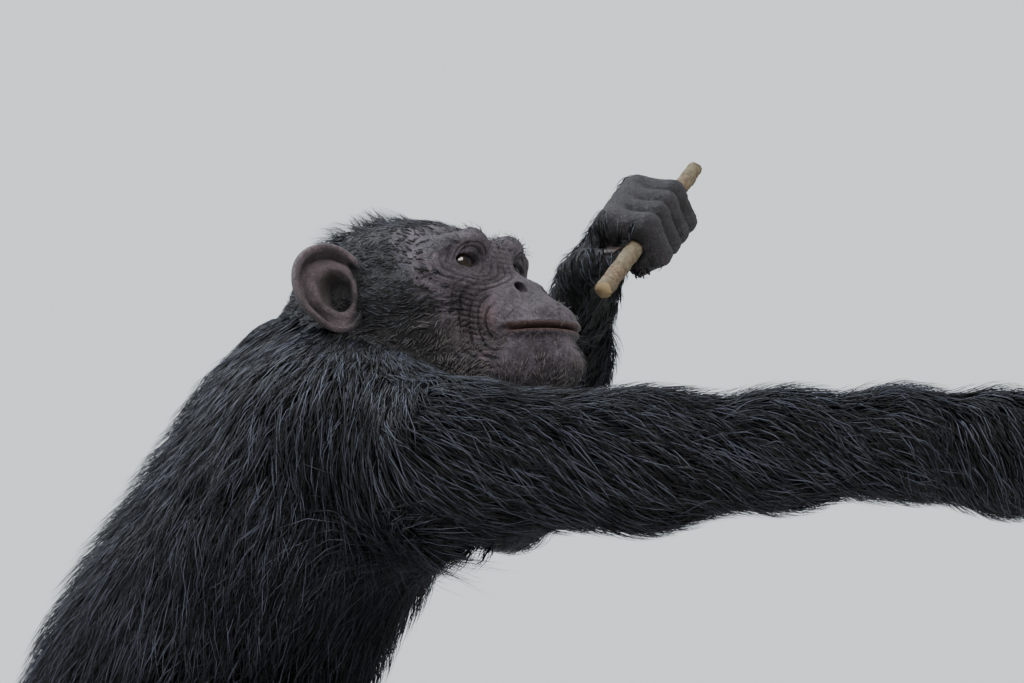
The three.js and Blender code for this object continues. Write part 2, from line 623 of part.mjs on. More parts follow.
const rightArm = ARMS.right;
const handPlace = new THREE.Matrix4().makeBasis(
  point(0.966, 0, -0.259), point(0, 1, 0), point(0.259, 0, 0.966)).setPosition(rightArm.wrist);
nodes.hand_right = largest(keptBeyond(openHand().transform(handPlace.elements), rightArm.wrist,
  rightArm.wrist.clone().sub(rightArm.aboveWrist)));
nodes.held_branch = solidOf(barrel(branchLine, BRANCH_RADIUS));
nodes.hand_left = largest(keptBeyond(grippingHand(), ARMS.left.wrist,
  ARMS.left.wrist.clone().sub(ARMS.left.aboveWrist)).subtract(solidOf(barrel(branchLine, BRANCH_RADIUS + GAP))));

for (const [name, s] of [["right", RIGHT], ["left", LEFT]]) {
  const leg = Object.fromEntries(Object.entries(LEG).map(([key, p]) => [key, mirrored(p, s)]));
  const hipCut = leg.midThigh.clone().sub(leg.hip);
  const kneeCut = bisector(leg.midThigh, leg.knee, leg.calf);
  const ankleCut = leg.ankle.clone().sub(leg.aboveAnkle).normalize();
  const thighLine = THIGH.map((n) => leg[n]);
  const thighSkin = bars(thighLine, THIGH.map((n) => LEG_RADII[n]), 24);
  const thigh = fused(
    wrapped(core(thighSkin, COAT.thigh), thighLine, 6, 14),
    coatOf(thighSkin, thighLine, {
      rows: 2, round: 5, length: 100, width: 64, depth: COAT.thigh, seed: 41, from: 0.4, to: 0.85,
      lie: downhill(0.2),
    }),
  );
  nodes["thigh_" + name] = largest(onFloor(
    keptBeyond(keptBeyond(thigh, leg.hip, hipCut), leg.knee, kneeCut.clone().negate())));
  const lowerLine = LOWER_LEG.map((n) => leg[n]);
  const lowerSkin = bars(lowerLine, LOWER_LEG.map((n) => LEG_RADII[n]), 24);
  const lower = fused(
    wrapped(core(lowerSkin, COAT.lowerLeg), lowerLine, 7, 12),
    coatOf(lowerSkin, lowerLine, {
      rows: 1, round: 5, length: 95, width: 50, depth: COAT.lowerLeg, seed: 51, from: 0.2, to: 0.7,
      lie: downhill(0.2),
    }),
  );
  nodes["lower_leg_" + name] = largest(onFloor(
    keptBeyond(keptBeyond(lower, leg.knee, kneeCut), leg.ankle, ankleCut.clone().negate())));
  nodes["foot_" + name] = largest(keptBeyond(footAt(leg.ankle, s), leg.ankle, ankleCut));
}

const neckRaw = wrapped(core(neckSkin, COAT.neck), neckLine, 5, 16, { up: point(1, 0, 0) });
const neckTop = keptBeyond(neckRaw, neckCutAt, neckCutNormal.clone().negate());
nodes.neck = largest(clearOf(keptBeyond(neckTop, NECK_BASE_AT, NECK_BASE_NORMAL),
  roomsAround(["upper_arm_right", "upper_arm_left"])));

const trunkCore = cast(core(trunkSkin, COAT.trunk), point(-150, -280, -20), point(380, 280, 560), 38, 5);
const trunkLocks = coatOf(trunkSkin, trunkLine, {
  rows: 5, round: 8, length: 140, width: 82, depth: COAT.trunk, seed: 11, up: point(1, 0, 0), from: 0.1, to: 0.97,
  lie: uphill(0.45),
  keep: (root) => root.z > 110 && (root.x < 230 || root.z < 380),
});
const shoulderLocks = Object.values(ARMS).map(({ shoulder }) => {
  const out = shoulder.clone().lerp(TRUNK_TIP, -0.15);
  const inner = shoulder.clone().lerp(TRUNK_TIP, 0.6);
  return coatOf(trunkSkin, [inner, out], {
    rows: 2, round: 6, length: 120, width: 80, depth: COAT.trunk, seed: 61, from: 0.1, to: 0.75,
    lie: (root, along) => along.clone().multiplyScalar(0.35).add(point(-0.25, 0, -0.75)).normalize(),
    keep: (root) => root.x < 300 && root.z > 350 && Math.abs(root.y) > 95,
  });
});
const trunk = fused(trunkCore, [...trunkLocks, ...shoulderLocks.flat()]);
nodes.chest = largest(clearOf(keptBeyond(trunk, WAIST_AT, WAIST_NORMAL),
  [...roomsAround(["neck", "upper_arm_right", "upper_arm_left", "thigh_right", "thigh_left"]), ...headRooms]));
nodes.belly = largest(onFloor(clearOf(keptBeyond(trunk, WAIST_AT, WAIST_NORMAL.clone().negate()),
  roomsAround(["thigh_right", "thigh_left"]))));

// Materials
const finish = (color, roughness) => new THREE.MeshStandardMaterial({ color, roughness, metalness: 0 });
const coatFinish = finish("#1d1c20", 0.75);
const faceFinish = finish("#5d4f50", 0.6);
const eyeFinish = finish("#2a1a10", 0.1);

const ape = new THREE.Group();
const add = (group, name, solid, material) => {
  const mesh = new THREE.Mesh(geometryFrom(settled(solid)), material);
  mesh.name = name;
  group.add(mesh);
};
const head = new THREE.Group();
headPlace.decompose(head.position, head.quaternion, head.scale);
ape.add(head);
add(head, "head", headSolid, faceFinish);
ears.forEach((ear, i) => add(head, ["ear_right", "ear_left"][i], ear, faceFinish));
eyes.forEach((eye, i) => add(head, ["eye_right", "eye_left"][i], eye, eyeFinish));
for (const [name, solid] of Object.entries(nodes)) add(ape, name, solid, coatFinish);

export default ape;
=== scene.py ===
import math

import bmesh
import bpy
import numpy as np
from mathutils import Matrix, Vector


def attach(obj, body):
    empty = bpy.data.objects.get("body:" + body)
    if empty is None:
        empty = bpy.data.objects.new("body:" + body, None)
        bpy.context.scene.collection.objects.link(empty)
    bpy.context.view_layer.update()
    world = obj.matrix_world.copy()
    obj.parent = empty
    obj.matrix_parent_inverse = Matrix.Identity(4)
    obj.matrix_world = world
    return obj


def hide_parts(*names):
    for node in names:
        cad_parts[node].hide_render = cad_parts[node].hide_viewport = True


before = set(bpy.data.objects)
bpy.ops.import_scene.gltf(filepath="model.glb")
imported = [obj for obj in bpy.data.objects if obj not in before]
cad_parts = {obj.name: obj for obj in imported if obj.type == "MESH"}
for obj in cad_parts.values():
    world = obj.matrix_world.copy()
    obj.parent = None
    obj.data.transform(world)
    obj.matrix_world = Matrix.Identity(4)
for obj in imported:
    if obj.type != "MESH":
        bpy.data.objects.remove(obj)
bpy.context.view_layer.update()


# Body under the coat: the skin of pelvis, belly, chest, shoulders and neck as one soft form.
# Each form is a field, a function that is negative inside and nearly the distance outside, and
# forms flow into one another where fields are blended, as muscle and fat do under skin.
def ball(centre, radii, lean=0.0):
    """A ball stretched to three half-lengths, its own z axis leaning forward by lean degrees."""
    centre, radii = np.array(centre, float), np.array(radii, float)
    c, s = math.cos(math.radians(lean)), math.sin(math.radians(lean))
    turn = np.array([[c, 0, s], [0, 1, 0], [-s, 0, c]])

    def field(p):
        q = (p - centre) @ turn
        near = np.sqrt(((q / radii) ** 2).sum(1))
        steep = np.sqrt(((q / radii**2) ** 2).sum(1)) + 1e-9
        return near * (near - 1) / steep

    return field


def bar(start, start_radius, end, end_radius):
    """A round bar whose radius changes evenly along it."""
    start, end = np.array(start, float), np.array(end, float)
    way = end - start

    def field(p):
        t = np.clip((p - start) @ way / (way @ way), 0, 1)
        off = p - start - t[:, None] * way
        return np.sqrt((off**2).sum(1)) - start_radius - t * (end_radius - start_radius)

    return field


def soft_min(a, b, reach):
    h = np.maximum(reach - np.abs(a - b), 0) / reach
    return np.minimum(a, b) - h * h * reach / 4


def blended(reach, *fields):
    def field(p):
        value = fields[0](p)
        for other in fields[1:]:
            value = soft_min(value, other(p), reach)
        return value

    return field


def hollowed(reach, body, *hollows):
    def field(p):
        value = body(p)
        for hollow in hollows:
            value = -soft_min(-value, hollow(p), reach)
        return value

    return field


def bars(points, radii, reach):
    pairs = range(len(points) - 1)
    return blended(reach, *(bar(points[i], radii[i], points[i + 1], radii[i + 1]) for i in pairs))


def between(a, b, share):
    return np.array(a, float) * (1 - share) + np.array(b, float) * share


ARMS = {
    "right": [(268, -158, 398), (400, -178, 397), (500, -186, 404), (580, -190, 409), (655, -190, 402),
              (760, -187, 384), (846, -184, 368)],
    "left": [(240, 160, 406), (268, 290, 402), (292, 378, 388), (308, 448, 385), (330, 390, 412),
             (350, 290, 488), (363, 229, 531)],
}  # shoulder, biceps, above the elbow, elbow, belly of the forearm, above the wrist, wrist
ARM_RADII = [48, 41, 32, 29, 34, 26, 22]
LEG = [(30, 82, 112), (120, 168, 140), (212, 255, 160), (270, 224, 128), (350, 186, 84), (388, 168, 60)]
LEG_RADII = [74, 60, 47, 44, 28, 27]  # hip, mid thigh, knee, calf, above the ankle, ankle
LIMB_BLEND = 24
TRUNK_TIP = (190, 0, 425)  # middle of the shoulder girdle

legs = {side: [(x, y * s, z) for x, y, z in LEG] for side, s in (("right", -1), ("left", 1))}
trunk_field = blended(
    60,
    ball((2, 0, 100), (90, 116, 104), 8),
    ball((74, 0, 228), (102, 126, 122), 24),
    ball((146, 0, 352), (94, 138, 128), 34),
    ball(TRUNK_TIP, (74, 150, 56), 34),
    *(bar(between(arm[0], TRUNK_TIP, 0.5), 52, arm[0], 46) for arm in ARMS.values()),
)
neck_field = blended(
    30,
    bars([(172, 2, 425), (200, 0, 470), (214, -2, 500)], [78, 58, 52], 30),
    bar((236, -14, 412), 54, (264, -36, 436), 40),
    bar((156, 4, 425), 44, (184, 12, 484), 36),
)
arm_fields = {side: bars(arm, ARM_RADII, LIMB_BLEND) for side, arm in ARMS.items()}
leg_fields = {side: bars(leg, LEG_RADII, LIMB_BLEND) for side, leg in legs.items()}
body_field = blended(30, trunk_field, neck_field, *arm_fields.values(), *leg_fields.values())


BLOCK = 4  # grid cells looked at together, to pass over those far from the surface
AT_ONCE = 200000  # points worked out together, to spare memory
OUTSIDE, JUST_INSIDE = 1.0, -0.05  # field values for the grid's rim, and for gaps that are filled
GAP_ROUNDS, SETTLE_ROUNDS = 6, 3


def grid_values(field, low, high, cell):
    """The field's values on a grid, exact near the surface and rough away from it."""
    blocks = [math.ceil((b - a) / cell / BLOCK) for a, b in zip(low, high)]
    ticks = [a + cell * np.arange(n * BLOCK + 1) for a, n in zip(low, blocks)]
    shape = tuple(len(t) for t in ticks)
    spots = np.stack(np.meshgrid(*ticks, indexing="ij"), -1)
    rough = field(spots[::BLOCK, ::BLOCK, ::BLOCK].reshape(-1, 3)).reshape([n + 1 for n in blocks])
    values = rough
    close = np.abs(rough) < 1.9 * BLOCK * cell
    for axis in range(3):
        values = np.repeat(values, BLOCK, axis).take(range(shape[axis]), axis)
        spread = close | np.roll(close, -1, axis)
        close = np.repeat(spread, BLOCK, axis).take(range(shape[axis]), axis)
    near = spots[close]
    parts = np.array_split(near, max(1, len(near) // AT_ONCE))
    values[close] = np.concatenate([field(part) for part in parts])
    return np.pad(values[1:-1, 1:-1, 1:-1], 1, constant_values=OUTSIDE)


def fill_gaps(values):
    """Where two bodies only touch corner to corner, the gap between them is filled."""
    for axis in [0, 1, 2] * GAP_ROUNDS:
        u, v = [d for d in range(3) if d != axis]

        def quarter(a, b):
            span = [slice(None)] * 3
            span[u] = slice(a, values.shape[u] - 1 + a)
            span[v] = slice(b, values.shape[v] - 1 + b)
            return tuple(span)

        w = [values[quarter(*c)] for c in ((0, 0), (1, 1), (0, 1), (1, 0))]
        inner = [x < 0 for x in w]
        one = inner[0] & inner[1] & ~inner[2] & ~inner[3]
        two = ~inner[0] & ~inner[1] & inner[2] & inner[3]
        values[quarter(0, 1)] = np.where(one, JUST_INSIDE, w[2])
        values[quarter(0, 0)] = np.where(two, JUST_INSIDE, values[quarter(0, 0)])


def cell_corner(grid, i, j, k):
    """For all cells of a grid at once, the value at one of their eight corners."""
    x, y, z = grid.shape
    return grid[i:i + x - 1, j:j + y - 1, k:k + z - 1]


def crossing_middles(values, mixed):
    """For each cell that the surface passes through, the middle of the places where it cuts the edges."""
    at = np.argwhere(mixed).astype(float)
    total, hits = np.zeros_like(at), np.zeros(len(at))
    for axis in range(3):
        for u in (0, 1):
            for v in (0, 1):
                start = [u, v]
                start.insert(axis, 0)
                end = list(start)
                end[axis] = 1
                a, b = cell_corner(values, *start)[mixed], cell_corner(values, *end)[mixed]
                cut = (a < 0) != (b < 0)
                share = np.where(cut, a / np.where(cut, a - b, 1), 0)
                spot = at + np.array(start, float)
                spot[:, axis] += share
                total += spot * cut[:, None]
                hits += cut
    return total / hits[:, None]


def faces_across(axis, inside, number):
    """One face for each grid edge along the axis that the surface cuts, from the four cells round it."""
    cells = number.shape
    b, c = (axis + 1) % 3, (axis + 2) % 3
    span = [slice(1, n) for n in cells]
    span[axis] = slice(0, cells[axis])
    first = inside[tuple(span)]
    span[axis] = slice(1, cells[axis] + 1)
    second = inside[tuple(span)]
    edges = np.argwhere(first != second) + np.array([0 if i == axis else 1 for i in range(3)])
    outwards = first[first != second]

    def cell_at(db, dc):
        spot = edges.copy()
        spot[:, b] -= db
        spot[:, c] -= dc
        return number[tuple(spot.T)]

    ring = np.stack([cell_at(1, 1), cell_at(0, 1), cell_at(0, 0), cell_at(1, 0)], 1)
    ring[~outwards] = ring[~outwards][:, ::-1]
    return ring


def netted(field, low, high, cell):
    """The surface of a field as (vertices, four-cornered faces): one vertex in each grid cell that the
    surface passes through, then drawn onto the surface."""
    values = grid_values(field, low, high, cell)
    fill_gaps(values)
    inside = values < 0
    eight = [(i, j, k) for i in (0, 1) for j in (0, 1) for k in (0, 1)]
    count = sum(cell_corner(inside, *one).astype(np.int8) for one in eight)
    mixed = (count > 0) & (count < 8)
    number = np.full(mixed.shape, -1)
    number[mixed] = np.arange(mixed.sum())
    verts = crossing_middles(values, mixed) * cell + np.array(low, float)
    for _ in range(SETTLE_ROUNDS):
        verts = drawn_onto(field, verts, 0, 0.7)
    return verts, np.concatenate([faces_across(axis, inside, number) for axis in range(3)])


def steepest(field, p, step=0.4):
    """The outward direction of a field at each point."""
    slope = np.stack([field(p + step * d) - field(p - step * d) for d in np.eye(3)], 1)
    return slope / (np.sqrt((slope**2).sum(1))[:, None] + 1e-9)


def drawn_onto(field, p, height, share=1.0):
    return p - ((field(p) - height) * share)[:, None] * steepest(field, p)


MM = 0.001


def mesh_object(name, verts, faces, rounded=True):
    """A mesh object from vertices in millimetres and faces all of one size."""
    mesh = bpy.data.meshes.new(name)
    mesh.vertices.add(len(verts))
    mesh.vertices.foreach_set("co", (np.asarray(verts) * MM).astype(np.float32).ravel())
    size = faces.shape[1]
    mesh.loops.add(faces.size)
    mesh.loops.foreach_set("vertex_index", faces.astype(np.int32).ravel())
    mesh.polygons.add(len(faces))
    mesh.polygons.foreach_set("loop_start", np.arange(0, faces.size, size, dtype=np.int32))
    mesh.update(calc_edges=True)
    mesh.polygons.foreach_set("use_smooth", np.full(len(faces), rounded))
    obj = bpy.data.objects.new(name, mesh)
    bpy.context.scene.collection.objects.link(obj)
    return obj


BODY_CELL = 6.0
OFF_FLOOR = 0.5  # the skin's height over the floor where it sits


def seated_field(p):
    return np.maximum(body_field(p), OFF_FLOOR - p[:, 2])


skin = mesh_object("skin", *netted(seated_field, (-140, -350, -30), (900, 520, 600), BODY_CELL))


# Head: bare, dark, creased skin over the skull, with a heavy brow, deep eye sockets, a flat nose and a
# long muzzle. It is modelled in the head's own frame (x forward, y left, z up, from midway between the
# ears) and set on the neck, so that the two flow together under the coat.
HEAD_AT = (228, -8, 511)
HEAD_TURN = np.array(
    Matrix.Rotation(math.radians(-32), 3, "Z")
    @ Matrix.Rotation(math.radians(-16), 3, "Y")
    @ Matrix.Rotation(math.radians(-5), 3, "X")
)


def to_head(p):
    return (p - np.array(HEAD_AT, float)) @ HEAD_TURN


def from_head(p):
    return p @ HEAD_TURN.T + np.array(HEAD_AT, float)


def both_sides(make):
    """What make gives for the right side, -1, and the left, 1."""
    return [make(-1), make(1)]


def side_name(side):
    return "left" if side > 0 else "right"


EYE_AT = (72, 31, 7)
EYE_RADIUS = 11.0
LID_RADII, OPENING_RADII = (14, 14.5, 13.5), (12, 12.5, 5.6)
MOUTH_WIDTH = 39.0
MOUTH_AT, MOUTH_DROP = -51, 6  # height of its corners, and how much lower its middle is


def eye_spot(side):
    return np.array((EYE_AT[0], EYE_AT[1] * side, EYE_AT[2]), float)


skull = blended(
    22,
    ball((-8, 0, 17), (76, 57, 46)),
    ball((32, 0, 9), (46, 46, 33)),
    *both_sides(lambda s: ball((18, 44 * s, 4), (46, 20, 40))),
)
brow = bars(
    [(55, -52, 6), (73, -42, 16), (82, -24, 20.5), (79, 0, 14), (82, 24, 20.5), (73, 42, 16), (55, 52, 6)],
    [9, 10, 10, 9, 10, 10, 9],
    10,
)
cheeks = blended(
    14,
    *both_sides(lambda s: bar((73, 43 * s, -10), 12, (20, 60 * s, -8), 11)),
    *both_sides(lambda s: bar((79, 31 * s, -17), 13, (90, 24 * s, -34), 16)),
    *both_sides(lambda s: bar((80, 14 * s, -2), 9, (92, 16 * s, -26), 10)),
    *both_sides(lambda s: bar((48, 42 * s, -30), 20, (18, 48 * s, -34), 20)),
    *both_sides(lambda s: bar((34, 42 * s, -60), 18, (92, 24 * s, -72), 17)),
)
nose = blended(
    8,
    bar((79, 0, 10), 8.5, (93, 0, -11), 9.5),
    ball((101, 0, -20), (11, 20, 9.5)),
    *both_sides(lambda s: ball((98, 14 * s, -20), (10, 9.5, 8.5), -20)),
)
muzzle = blended(
    12,
    ball((92, 0, -42), (44, 37, 24), 16),
    ball((108, 0, -48), (26, 33, 17), 14),
    ball((92, 0, -76), (44, 33, 20), 8),
    ball((106, 0, -76), (25, 29, 17), 8),
)
throat = blended(20, ball((-8, 0, -40), (58, 56, 60), -20), ball((52, 0, -72), (58, 38, 30), 8))
eye_hollows = both_sides(lambda s: ball((92, 33 * s, 6), (15, 13, 8)))
eyelids = both_sides(lambda s: ball(eye_spot(s), LID_RADII))
eye_rooms = both_sides(lambda s: ball(eye_spot(s), (EYE_RADIUS - 0.4,) * 3))
eye_slits = both_sides(lambda s: ball(eye_spot(s) + (10, 1.5 * s, 0), OPENING_RADII))
nostrils = both_sides(lambda s: bar((94, 9 * s, -17), 3.0, (112, 16.5 * s, -21.5), 5.4))
face_field = blended(
    5,
    hollowed(8, blended(14, skull, brow, cheeks, nose, muzzle, throat), *eye_hollows),
    *eyelids,
)


def mouth_place(p):
    """How far round to the front of the mouth a point is, 0 at the corners and 1 in the middle, and
    its height over the line of the lips."""
    round_front = np.sqrt(np.clip(1 - (p[:, 1] / MOUTH_WIDTH) ** 2, 0, 1))
    return round_front, p[:, 2] - (MOUTH_AT - MOUTH_DROP * round_front)


def mouth_slot(p):
    front, height = mouth_place(p)
    return np.maximum(np.abs(height) - (0.9 + 0.5 * front), 96 + 24 * front - p[:, 0])


def lips(p):
    front, height = mouth_place(p)
    reach = np.clip((p[:, 0] - 98) / 12, 0, 1)
    return reach * (1.5 * np.exp(-(((np.abs(height) - 3.2) / 2.4) ** 2)))


def lipped(p):
    return hollowed(1.2, lambda q: face_field(q) - lips(q), mouth_slot)(p)


NECK_CUT_AT, NECK_CUT_NORMAL = np.array((-30, 0, -84), float), np.array((0.5, 0, 0.867))
neck_under_head = blended(20, lipped, lambda p: neck_field(from_head(p)) + 2)


def head_field(p):
    opened = hollowed(1.0, neck_under_head, *eye_rooms, *eye_slits, *nostrils)(p)
    return np.maximum(opened, (NECK_CUT_AT - p) @ NECK_CUT_NORMAL)


def ripples(p, scale, seed=0):
    """A smooth, uneven value between about -1 and 1 that changes over the given length."""
    draw = np.random.default_rng(seed)
    ways = draw.normal(size=(6, 3))
    ways /= np.linalg.norm(ways, axis=1)[:, None]
    turns = p @ ways.T * (2 * math.pi / scale) * draw.uniform(0.6, 1.4, 6) + draw.uniform(0, 6.28, 6)
    return np.sin(turns).sum(1) / 2.6


def creases(phase, sharp=0.16):
    """Round folds parted by narrow valleys, one for each whole step of the phase."""
    return -np.exp(-(np.sin(math.pi * phase) ** 2) / sharp)


def smooth(value, low, high):
    t = np.clip((value - low) / (high - low), 0, 1)
    return t * t * (3 - 2 * t)


def folds(p):
    """Height of the face's folds at points on its surface, in the head's frame."""
    side = np.abs(p[:, 1])
    wobble = ripples(p, 26, 3)
    fine = ripples(p, 9, 4)
    ey, ez, ex = side - EYE_AT[1], p[:, 2] - EYE_AT[2], p[:, 0] - EYE_AT[0]
    from_eye = np.sqrt(ey**2 + (ez * 1.15) ** 2 + (ex * 0.5) ** 2)
    facing = smooth(p[:, 0], 48, 66)
    below = smooth(-ez, 1, 7)
    above = smooth(ez, 2, 6) * smooth(17 - ez, 0, 5)
    bags = below * smooth(from_eye, 12, 15) * smooth(40 - from_eye, 0, 12)
    lids = above * smooth(from_eye, 11.5, 13) * smooth(23 - from_eye, 0, 7)
    outer = smooth(ey, 8, 16) * smooth(from_eye, 14, 18) * smooth(38 - from_eye, 0, 10)
    outer *= smooth(9 - ez, 0, 8)
    height = facing * 1.7 * bags * creases(from_eye / 4.6 + 0.16 * wobble)
    height += facing * 1.4 * lids * creases(from_eye / 3.3 + 0.1 * wobble)
    height += facing * 1.2 * outer * creases(from_eye / 3.4 + 0.2 * wobble + 0.1 * fine)
    # the furrows beside the nose, and those that sweep back from the nostril and the mouth's corner
    beside = smooth(side, 12, 17) * smooth(30 - side, 0, 8) * smooth(p[:, 0], 82, 90)
    beside *= smooth(8 - p[:, 2], 0, 8)
    beside *= smooth(p[:, 2], -42, -26)
    height += 1.3 * beside * creases(side / 3.8 + p[:, 2] / 40 + 0.2 * wobble)
    corner = np.sqrt((side - 33) ** 2 + (p[:, 2] + 46) ** 2 + (p[:, 0] - 104) ** 2)
    behind = smooth(102 - p[:, 0], 0, 8) * smooth(corner, 7, 12) * smooth(52 - corner, 0, 16)
    behind *= smooth(p[:, 2], -84, -70) * smooth(side, 20, 28)
    height += 1.5 * behind * creases(corner / 7.2 + 0.22 * wobble)
    height += 0.6 * behind * creases(corner / 3.1 + 0.3 * wobble + 0.2 * fine)
    # across the bridge of the nose, between the brows, and over the cheek bones
    bridge = smooth(14 - side, 0, 6) * smooth(p[:, 0], 76, 84) * smooth(p[:, 2], -8, 0)
    bridge *= smooth(30 - p[:, 2], 0, 8)
    height += 0.8 * bridge * creases(p[:, 2] / 4.4 + 0.15 * wobble)
    cheek = smooth(p[:, 0], 60, 72) * smooth(96 - p[:, 0], 0, 10) * smooth(-p[:, 2], 14, 22)
    cheek *= smooth(side, 26, 34)
    height += 1.1 * cheek * creases((p[:, 2] + 0.45 * p[:, 0]) / 4.2 + 0.3 * wobble)
    # fine upright lines on both lips, and a faint unevenness everywhere
    front, rise = mouth_place(p)
    muzzle_part = smooth(p[:, 0], 96, 104) * smooth(-p[:, 2], 26, 34)
    height += 0.5 * muzzle_part * creases(side / 2.6 + 0.35 * wobble, 0.3) * smooth(np.abs(rise), 2.5, 6)
    return height + 0.18 * facing * ripples(p, 5, 7) + 0.35 * facing * wobble


HEAD_CELL = 1.7
head = mesh_object("head_skin", *netted(head_field, (-100, -105, -150), (165, 105, 95), HEAD_CELL))
fine = bmesh.new()
fine.from_mesh(head.data)


def on_face(face):
    at = face.calc_center_median() / MM
    return at.x > 52 and at.z < 46 and at.z > -100 and abs(at.y) < 66


bmesh.ops.subdivide_edges(
    fine,
    edges=list({e for f in fine.faces if on_face(f) for e in f.edges}),
    cuts=1,
    use_grid_fill=True,
)
fine.to_mesh(head.data)
fine.free()


def verts_of(obj):
    flat = np.empty(len(obj.data.vertices) * 3, np.float32)
    obj.data.vertices.foreach_get("co", flat)
    return flat.reshape(-1, 3).astype(float) / MM


def move_verts(obj, verts):
    obj.data.vertices.foreach_set("co", (verts * MM).astype(np.float32).ravel())
    obj.data.update()


at = verts_of(head)
on_skin = (NECK_CUT_AT - at) @ NECK_CUT_NORMAL < -3
settled = drawn_onto(head_field, drawn_onto(head_field, at, 0, 0.8), 0, 0.8)
outwards = steepest(face_field, settled)
near_eye = np.minimum(*both_sides(lambda s: np.linalg.norm(settled - eye_spot(s), axis=1)))
room = smooth(near_eye, 11.9, 13.2) * smooth(face_field(settled), -3.0, -0.8)
at[on_skin] = (settled + outwards * (folds(settled) * room)[:, None])[on_skin]
move_verts(head, from_head(at))


# Ears: large, round and thin, each a cup of bare skin with a rolled rim, an inner ridge, a deep bowl
# and a soft lobe, growing out of the side of the head.
EAR_HEIGHT, EAR_WIDTH = 70.0, 54.0
EAR_AT = (-6, 80, 8)
EAR_OUT, EAR_BACK = 40, 14  # degrees that its hind edge stands off, and that its top leans back
EAR_ROUND = 120
# share of the way out from the bowl to the rim, height, and how much of it is rolled rim
EAR_PROFILE = [
    (0.02, -21, 0), (0.14, -21, 0), (0.25, -19, 0), (0.34, -13.5, 0), (0.41, -7, 0), (0.48, -2.6, 0),
    (0.56, -1.2, 0), (0.64, -2.8, 0), (0.72, -6.4, 0.6), (0.79, -8.6, 1), (0.835, -7.6, 1), (0.84, -4, 1),
    (0.83, -0.4, 1), (0.845, 2.8, 1), (0.885, 4.8, 1), (0.935, 5, 1), (0.975, 3.4, 1), (1, 0.6, 0.9),
    (0.995, -2.6, 0.6), (0.965, -5.4, 0.3), (0.9, -8.4, 0), (0.8, -11, 0), (0.68, -14, 0), (0.6, -20, 0),
    (0.56, -28, 0), (0.5, -40, 0), (0.3, -41, 0),
]


def ear_turn(side):
    out, back = math.radians(-EAR_OUT * side), math.radians(-EAR_BACK)
    return np.array(Matrix.Rotation(out, 3, "Z") @ Matrix.Rotation(back, 3, "Y"))


def ear_spot(side):
    return np.array((EAR_AT[0], EAR_AT[1] * side, EAR_AT[2]), float)


def ear_place(p):
    """For points in the head's frame, how far out from the middle of the nearer ear they are, as a share
    of its outline, and how far they stand out of its plane."""
    share, height = np.full(len(p), 9.0), np.zeros(len(p))
    for side in (-1, 1):
        q = ((p - ear_spot(side)) @ ear_turn(side)) * np.array((1, -side, 1))
        out = np.sqrt((q[:, 0] / EAR_WIDTH * 2) ** 2 + (q[:, 2] / EAR_HEIGHT * 2) ** 2)
        mine = (p[:, 1] * side > 40) & (out < share)
        share, height = np.where(mine, out, share), np.where(mine, -q[:, 1], height)
    return share, height


def ring_faces(rows, around):
    """Triangles of a closed form made of rings of vertices. The vertices in the middle of its two ends
    come after the rings, that of the first ring before that of the last."""
    k = np.arange(around)
    after, last = (k + 1) % around, (rows - 1) * around
    bands = [r * around + np.stack([k, after, around + after, around + k], 1) for r in range(rows - 1)]
    quads, middle = np.concatenate(bands), np.full(around, rows * around)
    ends = [np.stack([middle, after, k], 1), np.stack([middle + 1, last + k, last + after], 1)]
    return np.concatenate([quads[:, [0, 1, 2]], quads[:, [0, 2, 3]], *ends])


def ear_object(side):
    turn = np.linspace(0, 2 * math.pi, EAR_ROUND, endpoint=False)
    low, high = np.maximum(0, -np.sin(turn)), np.maximum(0, np.sin(turn))
    forward = np.maximum(0, np.cos(turn))
    edge_x = np.cos(turn) * EAR_WIDTH / 2 * (1 - 0.18 * low) * (1 + 0.05 * high)
    edge_z = np.sin(turn) * EAR_HEIGHT / 2
    rim = 1 - 0.75 * smooth(low, 0.45, 0.95) - 0.45 * smooth(forward, 0.6, 0.95)
    verts = []
    for share, height, rolled in EAR_PROFILE:
        # the bowl lies low and forward, the rim is broad above, and the small flap guards the bowl
        shift_x, shift_z = 5.5 * (1 - share) ** 1.2, -7 * (1 - share) ** 1.2
        flat = -3.4 + (height + 3.4) * (1 - rolled * (1 - rim))
        from_flap = np.angle(np.exp(1j * (turn + 0.35))) / 0.42
        flap = 7.5 * np.exp(-(((share - 0.46) / 0.1) ** 2)) * np.exp(-(from_flap**2))
        lobe = 2.2 * np.exp(-(((share - 0.8) / 0.14) ** 2)) * smooth(low, 0.6, 0.95)
        wide = share * (1 + 0.02 * np.sin(3 * turn + 1) * rolled)
        x, z = edge_x * wide + shift_x, edge_z * wide + shift_z
        ring = np.stack([x, -(flat + flap + lobe), z], 1)
        if height < -20:
            ring[:, 0] += 7
        wrinkled = 0.5 * creases(z / 5.2 + 0.3 * ripples(ring, 20, 5), 0.4) * smooth(low, 0.2, 0.8)
        ring[:, 1] -= wrinkled + 0.35 * ripples(ring, 12, 6)
        verts.append(ring)
    verts = np.concatenate(verts + [verts[0].mean(0)[None], verts[-1].mean(0)[None]])
    verts = from_head(verts * np.array((1, -side, 1)) @ ear_turn(side).T + ear_spot(side))
    faces = ring_faces(len(EAR_PROFILE), EAR_ROUND)
    return mesh_object("ear_skin_" + side_name(side), verts, faces[:, ::-1] if side < 0 else faces)


ears = both_sides(ear_object)


